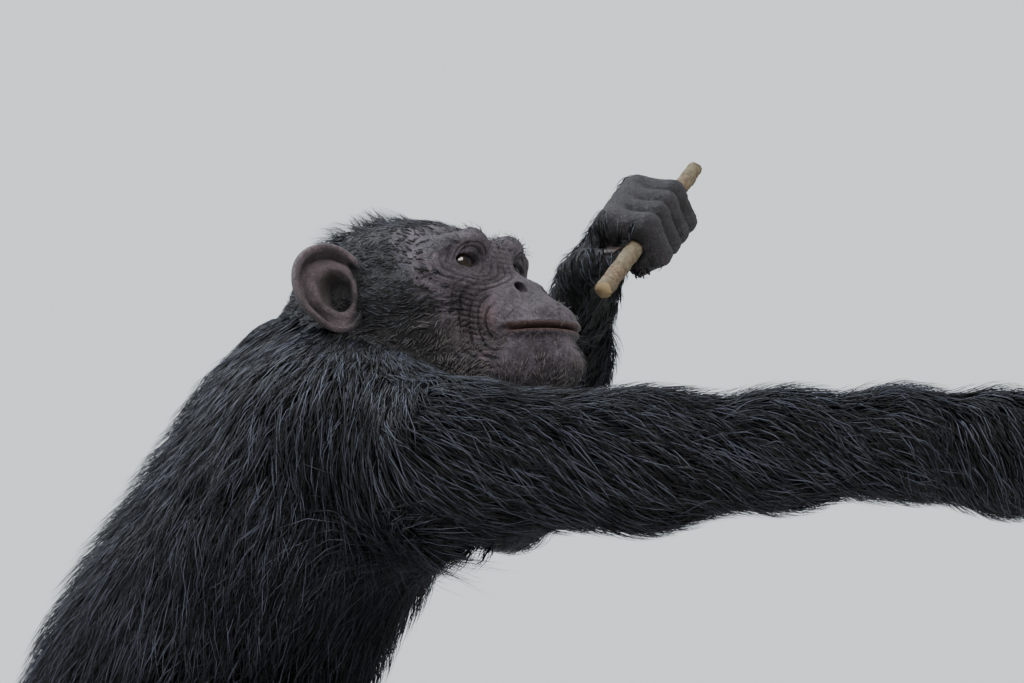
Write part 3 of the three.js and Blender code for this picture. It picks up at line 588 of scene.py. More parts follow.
# Hands and feet: long bare fingers and toes, wrinkled over the joints, on narrow palms and flat soles.
# The right hand hangs open. The left hand's fingers are wrapped round the branch. Both feet lie flat.
DIGIT_BLEND = 3
KNUCKLES = [(86, 31, 3), (91, 10, 6), (87, -12, 5), (79, -32, 1)]
PHALANGES = [(46, 31, 22), (50, 35, 23), (48, 33, 22), (40, 26, 20)]
BENDS = (14, 50, 76)  # degrees below the palm's line, bone by bone
FINGER_RADII = [12.5, 11, 9.5, 7.5]
OPEN_THUMB, OPEN_THUMB_RADII = [(34, 38, -12), (60, 52, -20), (84, 54, -30)], [13, 11, 8.5]
PALM_RADII, FOREARM_RADII = (16, 13.5), (25, 20.5)  # at the wrist and the knuckles; above and at the wrist
OPEN_HAND_TURN = np.array(((0.966, 0, -0.259), (0, 1, 0), (0.259, 0, 0.966)))


def placed(points, turn, at):
    """Points of a hand's or foot's own frame, set on the body. The rows of turn are its axes."""
    return np.asarray(points, float) @ turn + np.array(at, float)


def palm_bars(lines):
    return [bar(start, PALM_RADII[0], end, PALM_RADII[1]) for start, end in lines]


def bent_finger(knuckle, lengths, extra):
    joints = [np.array(knuckle, float)]
    spread = math.radians(knuckle[1] / 31 * 5)
    for length, bend in zip(lengths, BENDS):
        down = math.radians(bend + extra)
        way = (math.cos(down) * math.cos(spread), math.cos(down) * math.sin(spread), -math.sin(down))
        joints.append(joints[-1] + length * np.array(way))
    return joints


right_wrist = ARMS["right"][6]
open_fingers = [
    placed(bent_finger(knuckle, lengths, 3 * i), OPEN_HAND_TURN, right_wrist)
    for i, (knuckle, lengths) in enumerate(zip(KNUCKLES, PHALANGES))
]
open_thumb = placed(OPEN_THUMB, OPEN_HAND_TURN, right_wrist)
palm_lines = [placed([(6, k[1] * 0.45, 0), k], OPEN_HAND_TURN, right_wrist) for k in KNUCKLES]
heel_of_hand = placed([(10, 16, -4), (48, 40, -14)], OPEN_HAND_TURN, right_wrist)
right_hand_field = blended(
    5,
    blended(
        14,
        *palm_bars(palm_lines),
        bar(heel_of_hand[0], 17, heel_of_hand[1], 14),
        bar(ARMS["right"][5], FOREARM_RADII[0], right_wrist, FOREARM_RADII[1]),
    ),
    *(bars(finger, FINGER_RADII, DIGIT_BLEND) for finger in open_fingers),
    bars(open_thumb, OPEN_THUMB_RADII, DIGIT_BLEND),
)

BRANCH_AT = np.array((412, 196, 582), float)
BRANCH_ALONG = np.array((0.3, 0.85, 0.43)) / np.linalg.norm((0.3, 0.85, 0.43))
BRANCH_RADIUS = 6.5
TOWARD_PALM, TOWARD_CAMERA = np.array((-0.82, 0, 0.572)), np.array((0.486, -0.524, 0.697))
WRAP = [(24, 5), (18, 85), (17.5, 165), (16.5, 235)]  # each joint's distance from the branch, and its turn
GRIP_PLACES = (-33, -11, 11, 32)
GRIP_RADII = [12, 10.5, 10, 8]


def grip_point(along, distance, turn):
    turn = math.radians(turn)
    across = distance * (math.cos(turn) * TOWARD_PALM + math.sin(turn) * TOWARD_CAMERA)
    return BRANCH_AT + along * BRANCH_ALONG + across


left_wrist = np.array(ARMS["left"][6], float)
grip_fingers = [[grip_point(along, *joint) for joint in WRAP] for along in GRIP_PLACES]
grip_thumb, GRIP_THUMB_RADII = [(357, 190, 545), (366, 172, 554), (386, 158, 556)], [13, 11.5, 9]
palm_roots = [left_wrist + 0.4 * along * BRANCH_ALONG for along in GRIP_PLACES]
grip_lines = [(root, finger[0]) for root, finger in zip(palm_roots, grip_fingers)]
left_hand_field = blended(
    DIGIT_BLEND,
    blended(
        14,
        *palm_bars(grip_lines),
        bar(left_wrist - 20 * BRANCH_ALONG, 16, (357, 184, 548), 13),
        bar(ARMS["left"][5], FOREARM_RADII[0], left_wrist, FOREARM_RADII[1]),
    ),
    *(bars(finger, GRIP_RADII, DIGIT_BLEND) for finger in grip_fingers),
    bars(grip_thumb, GRIP_THUMB_RADII, DIGIT_BLEND),
)

TOES = [(112, 14, 15), (114, -7, 15), (108, -26, 14), (98, -43, 13)]
TOE_RADII = [13.5, 11.5, 9.5, 8]
TOE_JOINTS = [(36, 17), (60, 12), (78, 7.5)]  # how far each joint is past the toe's root, and its height
GREAT_TOE = [(56, 28, 16), (92, 52, 14), (116, 62, 12), (134, 66, 9)]
GREAT_TOE_RADII = [16, 13.5, 12, 9.5]
FOOT_TURN = 12  # degrees outwards


def foot_parts(side):
    s = 1 if side == "left" else -1
    c, n = math.cos(math.radians(FOOT_TURN * s)), math.sin(math.radians(FOOT_TURN * s))
    turn = np.array(((c, n, 0), (s * n, -s * c, 0), (0, 0, 1)))
    ankle = (*legs[side][5][:2], 0)
    toes = []
    for i, (x, y, z) in enumerate(TOES):
        length, spread = 1 - 0.09 * i, (y + 14) / 300
        toes.append([(x, y, z), *((x + a * length, y + a * length * spread, h) for a, h in TOE_JOINTS)])
    toes = [placed(toe, turn, ankle) for toe in toes]
    great = placed(GREAT_TOE, turn, ankle)

    def sole_bar(start, start_radius, end, end_radius):
        return bar(placed([start], turn, ankle)[0], start_radius, placed([end], turn, ankle)[0], end_radius)

    sole = blended(
        18,
        sole_bar((-34, 0, 26), 27, (4, 0, 40), 27),
        sole_bar((0, 0, 58), 25, (2, 0, 44), 26),
        *(sole_bar((14, y * 0.35, 32), 22, (x, y, z), 16) for x, y, z in TOES),
        sole_bar((18, 10, 26), 22, (62, 30, 16), 17),
        bar(legs[side][4], 27, legs[side][5], 25),
    )
    digits = [*(bars(toe, TOE_RADII, DIGIT_BLEND) for toe in toes), bars(great, GREAT_TOE_RADII, DIGIT_BLEND)]
    field = blended(5, sole, *digits)
    return (lambda p: np.maximum(field(p), 0.4 - p[:, 2])), toes, great


def knuckle_folds(p, lines):
    """Short creases across the digits, closest together over the joints."""
    nearest, height = np.full(len(p), 1e9), np.zeros(len(p))
    for line in lines:
        for start, end in zip(line[:-1], line[1:]):
            way = np.array(end, float) - start
            length = np.linalg.norm(way)
            t = (p - start) @ way / length**2
            off = np.linalg.norm(p - start - np.clip(t, 0, 1)[:, None] * way, axis=1)
            joint = np.minimum(np.abs(t), np.abs(t - 1)) * length
            fold = 0.55 * creases(t * length / 4.2 + 0.25 * ripples(p, 11, 8)) * smooth(13 - joint, 0, 9)
            closer = (off < nearest) & (t > -0.15) & (t < 1.1)
            height, nearest = np.where(closer, fold, height), np.where(closer, off, nearest)
    return height + 0.25 * ripples(p, 7, 9)


def extremity(name, field, low, high, cell, lines, cut_at, cut_way):
    """A hand or foot with a length of its limb, cut off square inside the limb."""
    cut_at, cut_way = np.array(cut_at, float), np.array(cut_way, float) / np.linalg.norm(cut_way)

    def cut_field(p):
        return np.maximum(field(p), (cut_at - p) @ cut_way)

    verts, faces = netted(cut_field, low, high, cell)
    free = smooth((verts - cut_at) @ cut_way, 4, 30) * (verts[:, 2] > 1.5)
    verts = verts + steepest(field, verts) * (knuckle_folds(verts, lines) * free)[:, None]
    return mesh_object(name, verts, faces)


HAND_CELL, FOOT_CELL = 2.0, 2.6
foot_fields, foot_toes, great_toes = {}, {}, {}
for side in ("right", "left"):
    foot_fields[side], foot_toes[side], great_toes[side] = foot_parts(side)
extremities = [
    extremity("right_hand_skin", right_hand_field, (770, -260, 225), (1045, -110, 415), HAND_CELL,
              [*open_fingers, open_thumb], between(ARMS["right"][5], right_wrist, 0.3),
              np.subtract(right_wrist, ARMS["right"][5])),
    extremity("left_hand_skin", left_hand_field, (305, 120, 465), (470, 310, 660), HAND_CELL,
              [*grip_fingers, grip_thumb], between(ARMS["left"][5], left_wrist, 0.3),
              np.subtract(left_wrist, ARMS["left"][5])),
]
for side, s in (("right", -1), ("left", 1)):
    ankle, shin = np.array(legs[side][5], float), np.array(legs[side][4], float)
    extremities.append(
        extremity(side + "_foot_skin", foot_fields[side], (ankle[0] - 75, ankle[1] - 115, -4),
                  (ankle[0] + 215, ankle[1] + 115, 105), FOOT_CELL, [*foot_toes[side], great_toes[side]],
                  between(shin, ankle, 0.25), ankle - shin))


# One skin: the body, head, ears, hands and feet are joined into a single closed surface, so that no
# seam shows where one flows into the next. Its bare parts are dark and creased, with painted shade
# darkest in the furrows, the fine grooves and the ear's bowl, and a little flushed on the cheeks, and the
# rest is the dark hide that shows between the hairs.
def united(base, others):
    for other in others:
        join = base.modifiers.new("join", "BOOLEAN")
        join.operation, join.solver, join.object = "UNION", "MANIFOLD", other
    bpy.context.view_layer.update()
    joined = bpy.data.meshes.new_from_object(base.evaluated_get(bpy.context.evaluated_depsgraph_get()))
    base.modifiers.clear()
    base.data = joined
    for other in others:
        bpy.data.objects.remove(other)


united(skin, [head, *ears, *extremities])


class Link:
    """A socket in a material's node tree, with the arithmetic that adds Math nodes."""

    def __init__(self, tree, socket):
        self.tree, self.socket = tree, socket

    def math(self, operation, *values):
        return self.node("ShaderNodeMath", {"operation": operation}, dict(enumerate([self, *values])))

    def node(self, kind, settings=None, values=None, out=0):
        made = self.tree.nodes.new(kind)
        for key, value in (settings or {}).items():
            setattr(made, key, value)
        for key, value in (values or {}).items():
            if isinstance(value, Link):
                self.tree.links.new(value.socket, made.inputs[key])
            else:
                made.inputs[key].default_value = value
        return Link(self.tree, made.outputs[out])

    def __add__(self, other):
        return self.math("ADD", other)

    def __mul__(self, other):
        return self.math("MULTIPLY", other)

    def __sub__(self, other):
        return self.math("SUBTRACT", other)

    def __rsub__(self, other):
        return (self * -1.0) + other

    __radd__, __rmul__ = __add__, __mul__

    def between(self, low, high):
        values = {"Value": self, "From Min": low, "From Max": high}
        return self.node("ShaderNodeMapRange", {"interpolation_type": "SMOOTHSTEP"}, values)

    def mix(self, first, second):
        """The first colour where this value is 0 and the second where it is 1."""
        colors = [c if isinstance(c, Link) else (*c, 1) for c in (first, second)]
        values = {0: self, 6: colors[0], 7: colors[1]}
        return self.node("ShaderNodeMix", {"data_type": "RGBA"}, values, out=2)


def rgb(red, green, blue):
    """A colour given in the usual 0 to 255 steps, as the linear values that a shader takes."""
    steps = (red, green, blue)
    return tuple(((c / 255 + 0.055) / 1.055) ** 2.4 if c > 10 else c / 255 / 12.92 for c in steps)


def new_material(name, **sockets):
    """A material with one principled shader: its constant sockets are set here, by their names."""
    material = bpy.data.materials.new(name)
    material.use_nodes = True
    shader = material.node_tree.nodes["Principled BSDF"]
    for key, value in sockets.items():
        shader.inputs[key.replace("_", " ")].default_value = value
    return material, shader, Link(material.node_tree, None)


def connect(shader, **links):
    for key, link in links.items():
        link.tree.links.new(link.socket, shader.inputs[key.replace("_", " ")])


def value_at_verts(obj, name, values):
    attribute = obj.data.attributes.new(name, "FLOAT", "POINT")
    attribute.data.foreach_set("value", np.asarray(values, np.float32))


BARE_HANDS = [((935, -190, 320), 112), ((420, 192, 588), 58)]  # middle and reach of the bare skin
HEAD_MIDDLE = (40, 0, -10)


def skin_masks(p):
    """For each point on the skin, how far it is bare, how far it belongs to each bare part, and how much
    painted shade its furrows take.
    """
    local = to_head(p)
    side = np.abs(local[:, 1])
    in_head = smooth(-np.linalg.norm(local - np.array(HEAD_MIDDLE), axis=1), -150, -140)
    front, rise = mouth_place(local)
    face = smooth(local[:, 0] + 0.35 * local[:, 2], 38, 60) * smooth(70 - side, 0, 8)
    face *= smooth(local[:, 2] + 0.3 * local[:, 0], -72, -62) * in_head
    share, height = ear_place(local)
    ear = in_head * smooth(1.16 - share, 0, 0.1) * smooth(height, -30, -20) * (side > 58)
    ear *= smooth(soft_min(body_field(p), face_field(local), 14), 0.5, 3)
    # painted shade: the mask of the ear's deep bowl, which is darkened where shade falls in it
    ear_bowl_shade = ear * smooth(0.5 - share, -0.06, 0.12) * smooth(-height, 2, 9)
    lip = smooth(-np.abs(rise), -4.5, -1.5) * smooth(local[:, 0], 100, 112) * in_head
    corner = np.sqrt((side - 33) ** 2 + (local[:, 2] + 46) ** 2 + (local[:, 0] - 100) ** 2)
    flush = in_head * smooth(42 - corner, 0, 26) * smooth(106 - local[:, 0], 0, 12) * smooth(side, 20, 30)
    hands = np.zeros(len(p))
    for middle, reach in BARE_HANDS:
        off = np.linalg.norm(p - np.array(middle, float), axis=1)
        hands = np.maximum(hands, smooth(reach - off, 0, 14))
    for leg in legs.values():
        ankle_x = leg[5][0]
        foot = smooth(p[:, 0], ankle_x - 20, ankle_x + 20) * smooth(70 - p[:, 2], 0, 30)
        hands = np.maximum(hands, foot)
    return {
        "bare": np.clip(face + ear + hands, 0, 1),
        "face": face,
        "ear": ear,
        "ear_bowl_shade": ear_bowl_shade,
        "lip": lip,
        "flush": flush,
        "hands": hands,
        # painted shade: the face is darkened in the furrows of its folds, where shade falls
        "furrow_shade": face * np.clip(-folds(local), 0, 1.2),
    }


skin_points = verts_of(skin)
for name, values in skin_masks(skin_points).items():
    value_at_verts(skin, name, values)

# the furrow tone is painted shade for the face's furrows, and the bowl tone is painted shade on a reddish
# brown tint for the ear's bowl; the other tones are the skin's own
FACE_DARK, FACE_PALE = rgb(46, 40, 46), rgb(118, 106, 117)
EAR_DARK, EAR_PALE, BOWL_SHADE_TONE = rgb(58, 48, 51), rgb(116, 101, 107), rgb(38, 25, 22)
FLUSH_TONE, LIP_TONE, FURROW_SHADE_TONE = rgb(126, 88, 84), rgb(84, 56, 50), rgb(26, 20, 23)
HAND_DARK, HAND_PALE, HIDE_TONE = rgb(18, 16, 19), rgb(62, 56, 64), rgb(17, 16, 19)
material, shader, tree = new_material("bare_skin", Roughness=0.5, Sheen_Weight=0.1, Sheen_Roughness=0.5)
place = tree.node("ShaderNodeTexCoord", out=3)


def masked(tree, name):
    return tree.node("ShaderNodeAttribute", {"attribute_name": name}, out=2)


def noise(tree, place, scale, detail=4, rough=0.6, distortion=0.0):
    grain = {"Detail": detail, "Roughness": rough, "Distortion": distortion}
    return tree.node("ShaderNodeTexNoise", values={"Vector": place, "Scale": scale, **grain})


def bumped(tree, strength, distance, height):
    values = {"Strength": strength, "Distance": distance, "Height": height}
    return tree.node("ShaderNodeBump", values=values)


blotches = noise(tree, place, 55).between(0.36, 0.66)
wrinkles = noise(tree, place, 300, 5, 0.65, 1.6).between(0.40, 0.60)
cell_edges = {"feature": "DISTANCE_TO_EDGE"}
pebble = tree.node("ShaderNodeTexVoronoi", cell_edges, {"Vector": place, "Scale": 1050.0}).between(0.0, 0.4)
# the blotches are the skin's own uneven tone; the wrinkle and pebble parts follow the bump, so face, ears and
# hands get painted shade in their fine grooves
blotches_and_groove_shade = blotches * 0.4 + wrinkles * 0.35 + pebble * 0.25
tone = blotches_and_groove_shade.mix(FACE_DARK, FACE_PALE)
tone = (masked(tree, "flush") * (blotches * 0.4)).mix(tone, FLUSH_TONE)
# painted shade, darkening the face in its furrows
tone = (masked(tree, "furrow_shade") * 0.7).mix(tone, FURROW_SHADE_TONE)
tone = masked(tree, "lip").mix(tone, LIP_TONE)
tone = masked(tree, "ear").mix(tone, blotches_and_groove_shade.mix(EAR_DARK, EAR_PALE))
# painted shade in the ear's deep bowl, on a reddish brown tint
tone = (masked(tree, "ear_bowl_shade") * 0.9).mix(tone, BOWL_SHADE_TONE)
tone = masked(tree, "hands").mix(tone, blotches_and_groove_shade.mix(HAND_DARK, HAND_PALE))
tone = masked(tree, "bare").mix(HIDE_TONE, tone)
bump = bumped(tree, 0.8, 0.0009, wrinkles * 0.7 + pebble * 0.4)
connect(shader, Base_Color=tone, Normal=bump, Roughness=(1 - wrinkles) * 0.2 + 0.42)
skin.data.materials.clear()
skin.data.materials.append(material)
FLESH = ["head", "ear_right", "ear_left", "neck", "chest", "belly"] + [
    part + "_" + side
    for part in ("upper_arm", "forearm", "hand", "thigh", "lower_leg", "foot")
    for side in ("right", "left")
]
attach(skin, "root")
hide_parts(*FLESH)


# Eyes: wet, dark balls set deep under the brow, with a brown iris round a black pupil, and a slight
# bulge over the iris. They look along the muzzle and a little up.
GAZE = np.array((0.93, 0.0, 0.1))
IRIS_EDGE, PUPIL_EDGE = (0.54, 0.68), (0.20, 0.25)  # radians off the gaze, over which each fades out
material, shader, tree = new_material(
    "wet_eye", Roughness=0.16, Coat_Weight=1.0, Coat_Roughness=0.02, IOR=1.38)
off_gaze = masked(tree, "off_gaze")
rays = noise(tree, tree.node("ShaderNodeTexCoord", out=3), 900, 2)
iris_tone = (rays * 0.8 + off_gaze * 1.2 - 0.6).mix(rgb(20, 11, 6), rgb(66, 38, 19))
tone = off_gaze.between(*IRIS_EDGE).mix(iris_tone, rgb(34, 24, 20))
tone = off_gaze.between(*PUPIL_EDGE).mix((0.002, 0.002, 0.002), tone)
connect(shader, Base_Color=tone)


def eye_object(side):
    rows, around = 40, 56
    gaze = GAZE + np.array((0, 0.16 * side, 0))
    gaze /= np.linalg.norm(gaze)
    across = np.cross(gaze, (0, 0, 1))
    across /= np.linalg.norm(across)
    up = np.cross(across, gaze)
    away = np.linspace(0, math.pi, rows)[1:-1]
    turn = np.linspace(0, 2 * math.pi, around, endpoint=False)
    bulge = EYE_RADIUS + 0.7 * np.exp(-((away / 0.5) ** 2))
    round_gaze = np.cos(turn)[:, None] * across + np.sin(turn)[:, None] * up
    rings = [r * (math.cos(a) * gaze + math.sin(a) * round_gaze) for a, r in zip(away, bulge)]
    verts = np.concatenate(rings + [(bulge[0] * gaze)[None], (-EYE_RADIUS * gaze)[None]])
    verts = from_head(verts + eye_spot(side))
    eye = mesh_object("eyeball_" + side_name(side), verts, ring_faces(len(away), around)[:, ::-1])
    value_at_verts(eye, "off_gaze", np.concatenate([np.repeat(away, around), (0, math.pi)]))
    eye.data.materials.append(material)
    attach(eye, "root")
    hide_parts("eye_" + side_name(side))


both_sides(eye_object)


# Nails: flat, dark horn plates on the tips of all the fingers and toes, sunk in the skin at their roots
# and sides, with a rounded free edge.
material, shader, tree = new_material("dark_horn", Roughness=0.5)
place = tree.node("ShaderNodeTexCoord", out=3)
streaks = noise(tree, place, 420, 3, 0.6, 0.8).between(0.35, 0.65)
bump = bumped(tree, 0.25, 0.0003, streaks)
connect(shader, Base_Color=streaks.mix(rgb(34, 28, 28), rgb(82, 70, 66)), Normal=bump)
NAIL_ROWS, NAIL_HALF_TURN = 10, 52  # rows of its mesh each way, and degrees that it wraps to each side
NAIL_OVER, NAIL_UNDER = 1.0, -0.9  # heights of its two faces over the skin


def unit(v):
    return v / (np.linalg.norm(v, axis=-1, keepdims=True) + 1e-9)


def nail_plate(joint, tip, joint_radius, tip_radius, toward_back):
    """The mesh of one nail, on the side of the digit's last bone that looks the given way."""
    joint, tip = np.array(joint, float), np.array(tip, float)
    way = unit(tip - joint)
    out = unit(np.array(toward_back, float) - (np.array(toward_back, float) @ way) * way)
    across = np.cross(way, out)
    u, v = np.meshgrid(np.linspace(-1, 1, NAIL_ROWS), np.linspace(0, 1, NAIL_ROWS), indexing="ij")
    start, end = -0.85 * tip_radius, 0.62 * tip_radius
    along = start + (end - start) * v * (1 - 0.22 * u**2) + 0.16 * tip_radius * (1 - v) * u**2
    bone = np.linalg.norm(tip - joint)
    girth = tip_radius + (joint_radius - tip_radius) * np.clip(-along / bone, 0, 1)
    girth = girth * np.sqrt(1 - 0.5 * (np.clip(along, 0, None) / tip_radius) ** 2)
    turn = np.radians(NAIL_HALF_TURN) * u
    ray = np.cos(turn)[..., None] * out + np.sin(turn)[..., None] * across
    sunk = 1.1 * np.abs(u) ** 6 + 1.2 * np.clip(1 - v * 5, 0, 1)
    sheets = [(tip + along[..., None] * way + (girth + lift - drop)[..., None] * ray).reshape(-1, 3)
              for lift, drop in ((NAIL_OVER, sunk), (NAIL_UNDER, 0))]
    n, under, faces = NAIL_ROWS, NAIL_ROWS**2, []
    for i in range(n - 1):
        for j in range(n - 1):
            a, b, c, d = i * n + j, (i + 1) * n + j, (i + 1) * n + j + 1, i * n + j + 1
            faces += [(a, b, c), (a, c, d)]
            faces += [(under + a, under + c, under + b), (under + a, under + d, under + c)]
    edge = [i * n for i in range(n)] + [(n - 1) * n + j for j in range(1, n)]
    edge += [i * n + n - 1 for i in range(n - 2, -1, -1)] + list(range(n - 2, 0, -1))
    for a, b in zip(edge, edge[1:] + edge[:1]):
        faces += [(b, a, under + a), (b, under + a, under + b)]
    return np.concatenate(sheets), np.array(faces)


def nails_on(name, digits):
    verts, faces, count = [], [], 0
    for points, radii, toward_back in digits:
        spots, triangles = nail_plate(points[-2], points[-1], radii[-2], radii[-1], toward_back)
        verts.append(spots)
        faces.append(triangles + count)
        count += len(spots)
    piece = mesh_object(name, np.concatenate(verts), np.concatenate(faces))
    piece.data.materials.append(material)
    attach(piece, "root")


palm_left, palm_up = OPEN_HAND_TURN[1:]
open_nails = [(finger, FINGER_RADII, palm_up) for finger in open_fingers]
nails_on("nails_right_hand", [*open_nails, (open_thumb, OPEN_THUMB_RADII, palm_up + 0.8 * palm_left)])
off_branch = [finger[-1] - grip_point(along, 0, 0) for finger, along in zip(grip_fingers, GRIP_PLACES)]
grip_nails = [(finger, GRIP_RADII, out) for finger, out in zip(grip_fingers, off_branch)]
nails_on("nails_left_hand", [*grip_nails, (grip_thumb, GRIP_THUMB_RADII, TOWARD_CAMERA)])
for side in ("right", "left"):
    toe_nails = [(toe, TOE_RADII, (0, 0, 1)) for toe in foot_toes[side]]
    nails_on("nails_" + side + "_foot", [*toe_nails, (great_toes[side], GREAT_TOE_RADII, (0, 0, 1))])


# Branch: a short cut length of dry wood with the bark on, gripped by the left hand. It tapers a little,
# has shallow ridges and three low knots, and is pale where it was cut across.
BRANCH_LENGTH, BRANCH_TAPER = 240.0, 0.16
BRANCH_ROWS, BRANCH_ROUND = 150, 40
KNOTS = [(-82, 1.0), (70, 3.4), (101, 5.2)]  # each one's place along the branch, and its turn
across = np.cross(BRANCH_ALONG, (0, 0, 1))
across /= np.linalg.norm(across)
lift = np.cross(across, BRANCH_ALONG)
along = np.linspace(-BRANCH_LENGTH / 2, BRANCH_LENGTH / 2, BRANCH_ROWS)
turn = np.linspace(0, 2 * math.pi, BRANCH_ROUND, endpoint=False)
spots = np.stack(np.meshgrid(along, turn, indexing="ij"), -1).reshape(-1, 2)
round_spots = np.stack([spots[:, 0] * 0.25, np.cos(spots[:, 1]) * 7, np.sin(spots[:, 1]) * 7], 1)
ridges = 0.28 * ripples(round_spots, 4, 11) + 0.2 * ripples(round_spots * np.array((3, 1, 1)), 6, 12)


def knot(at, way):
    off = np.angle(np.exp(1j * (spots[:, 1] - way)))
    return 1.3 * np.exp(-(((spots[:, 0] - at) / 5) ** 2) - (off / 0.7) ** 2)


radius = BRANCH_RADIUS * (1.0 - BRANCH_TAPER * (spots[:, 0] / BRANCH_LENGTH))
radius = radius - 0.25 + ridges + sum(knot(at, way) for at, way in KNOTS)
verts = BRANCH_AT + spots[:, :1] * BRANCH_ALONG
verts = verts + (radius * np.cos(spots[:, 1]))[:, None] * across
verts = verts + (radius * np.sin(spots[:, 1]))[:, None] * lift
ends = BRANCH_AT + np.array([[along[0] - 0.4], [along[-1] + 0.4]]) * BRANCH_ALONG
faces = ring_faces(BRANCH_ROWS, BRANCH_ROUND)[:, ::-1]
branch = mesh_object("branch", np.concatenate([verts, ends]), faces)
value_at_verts(branch, "cut_face", np.concatenate([np.zeros(len(verts)), [1, 1]]))
material, shader, tree = new_material("dry_bark", Roughness=0.85)
place = tree.node("ShaderNodeTexCoord", out=3)
flakes = noise(tree, place, 220, 6, 0.7, 0.4)
patches = noise(tree, place, 45, 3).between(0.4, 0.62)
tone = flakes.between(0.3, 0.7).mix(rgb(78, 62, 48), rgb(150, 130, 106))
tone = (patches * 0.6).mix(tone, rgb(128, 122, 100))
tone = masked(tree, "cut_face").between(0.02, 0.12).mix(tone, rgb(176, 152, 116))
connect(shader, Base_Color=tone, Normal=bumped(tree, 0.7, 0.0009, flakes))
branch.data.materials.append(material)
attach(branch, "root")
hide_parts("held_branch")


# Coat: long, coarse black hair that lies back from the head, down the back and flanks and out along
# the limbs, hanging in a fringe from the shoulder, with a short brush on the crown and a thin pale
# beard. Each strand is a closed three-sided blade, sunk in the skin at its root, that follows the
# form under it, sags a little and draws in with its neighbours into pointed tufts. Broad dark blades
# lie close to the skin, and fine ones lie over these, some of them with a painted bluish-grey sheen.
HAIR_STEPS = (0.0, 0.36, 0.7, 1.0)  # where a strand bends, as shares of its length
HAIR_RINGS = (3, 3, 3, 1)  # vertices at each of these places
HAIR_TAPER = (0.75, 1.0, 0.7)  # of its width
HAIR_RISE = (-0.06, 0.55, 0.85, 1.0)  # of the coat's depth, from the sunk root to the tip
TUFT_SIZE = 14.0
UNDER_SHARE, UNDER_WIDTH, OVER_WIDTH = 0.3, 1.7, 0.62  # broad strands under the fine ones
HAIR_OFF_FLOOR = 0.6
HAND_FORMS = [(left_hand_field, (400, 186, 570)), (right_hand_field, (880, -180, 330))]
HAND_REACH = 100  # from a hand's middle, within which the coat heeds its form


def animal_field(p):
    value = soft_min(body_field(p), face_field(to_head(p)), 14)
    for field, middle in HAND_FORMS:
        close = np.linalg.norm(p - np.array(middle, float), axis=1) < HAND_REACH
        if close.any():
            value[close] = np.minimum(value[close], field(p[close]))
    return value


def slope_at(p, step=1.5):
    """The animal's field and its outward direction, at each point."""
    value = animal_field(p)
    slope = np.stack([animal_field(p + step * d) - value for d in np.eye(3)], 1)
    return value, slope / (np.linalg.norm(slope, axis=1)[:, None] + 1e-9)


skin.data.calc_loop_triangles()
corners = np.empty(len(skin.data.loop_triangles) * 3, np.int32)
skin.data.loop_triangles.foreach_get("vertices", corners)
corners = skin_points[corners.reshape(-1, 3)]
middles = corners.mean(1)
areas = np.linalg.norm(np.cross(corners[:, 1] - corners[:, 0], corners[:, 2] - corners[:, 0]), axis=1) / 2
masks = skin_masks(middles)
local = to_head(middles)
TRUNK, NECK, RIGHT_ARM, LEFT_ARM, RIGHT_LEG, LEFT_LEG, HEAD = range(7)
off_parts = [
    trunk_field(middles),
    neck_field(middles) + 6,
    arm_fields["right"](middles) - 2,
    arm_fields["left"](middles) - 2,
    leg_fields["right"](middles),
    leg_fields["left"](middles),
    face_field(local) - 6,
]
nearest = np.argmin(off_parts, 0)
bare_face = masks["face"] * smooth(local[:, 0] + 0.2 * local[:, 2], 40, 78)
hairy = (1 - np.clip(bare_face + masks["ear"] + masks["hands"], 0, 1)) * (middles[:, 2] > 6)


def along_limb(joints, p):
    """The direction of a limb, from the body out, at the nearest part of it, and how far along it is."""
    best, way, far, gone = np.full(len(p), 1e9), np.zeros_like(p), np.zeros(len(p)), 0.0
    for start, end in zip(joints[:-1], joints[1:]):
        start, end = np.array(start, float), np.array(end, float)
        bone = end - start
        t = np.clip((p - start) @ bone / (bone @ bone), 0, 1)
        off = np.linalg.norm(p - start - t[:, None] * bone, axis=1)
        closer = off < best
        best = np.where(closer, off, best)
        way[closer] = unit(bone)
        far[closer] = gone + (t * np.linalg.norm(bone))[closer]
        gone += np.linalg.norm(bone)
    return way, far / gone


def round_axis(joints, p):
    """An unwrap of the skin round a limb or the trunk: how far round, and how far along, from 0 to 1."""
    way, share = along_limb(joints, p)
    spots = np.array(joints, float)
    middle = np.stack([np.interp(share, np.linspace(0, 1, len(spots)), spots[:, i]) for i in range(3)], 1)
    first = unit(np.cross(way, (0.13, 0.22, 0.97)))
    second = np.cross(way, first)
    off = p - middle
    turn = np.arctan2((off * second).sum(1), (off * first).sum(1)) / (2 * math.pi) + 0.5
    return np.stack([0.02 + 0.95 * turn, 0.02 + 0.95 * share], 1)


def calm(p):
    """How freely the coat stands, from 1 down to where it lies close round the ears and under the jaw."""
    q = to_head(p)
    off_ear = np.minimum(*both_sides(lambda side: np.linalg.norm(q - ear_spot(side), axis=1)))
    off_ear = off_ear + 2.5 * np.maximum(0, -8 - q[:, 0])
    return np.clip(smooth(off_ear, 40, 90), 0.2, 1) * np.clip(smooth(face_field(q), 10, 90), 0.35, 1)


def shared(value, p):
    return value(p) if callable(value) else np.full(len(p), float(value))


def rooted(draw, weight, count):
    """Places on the skin, drawn by its area and by weight."""
    chance = areas * weight
    picked = draw.choice(len(areas), count, p=chance / chance.sum())
    a, b = draw.random((2, count))
    over = a + b > 1
    a[over], b[over] = 1 - a[over], 1 - b[over]
    tri = corners[picked]
    return tri[:, 0] + a[:, None] * (tri[:, 1] - tri[:, 0]) + b[:, None] * (tri[:, 2] - tri[:, 0])


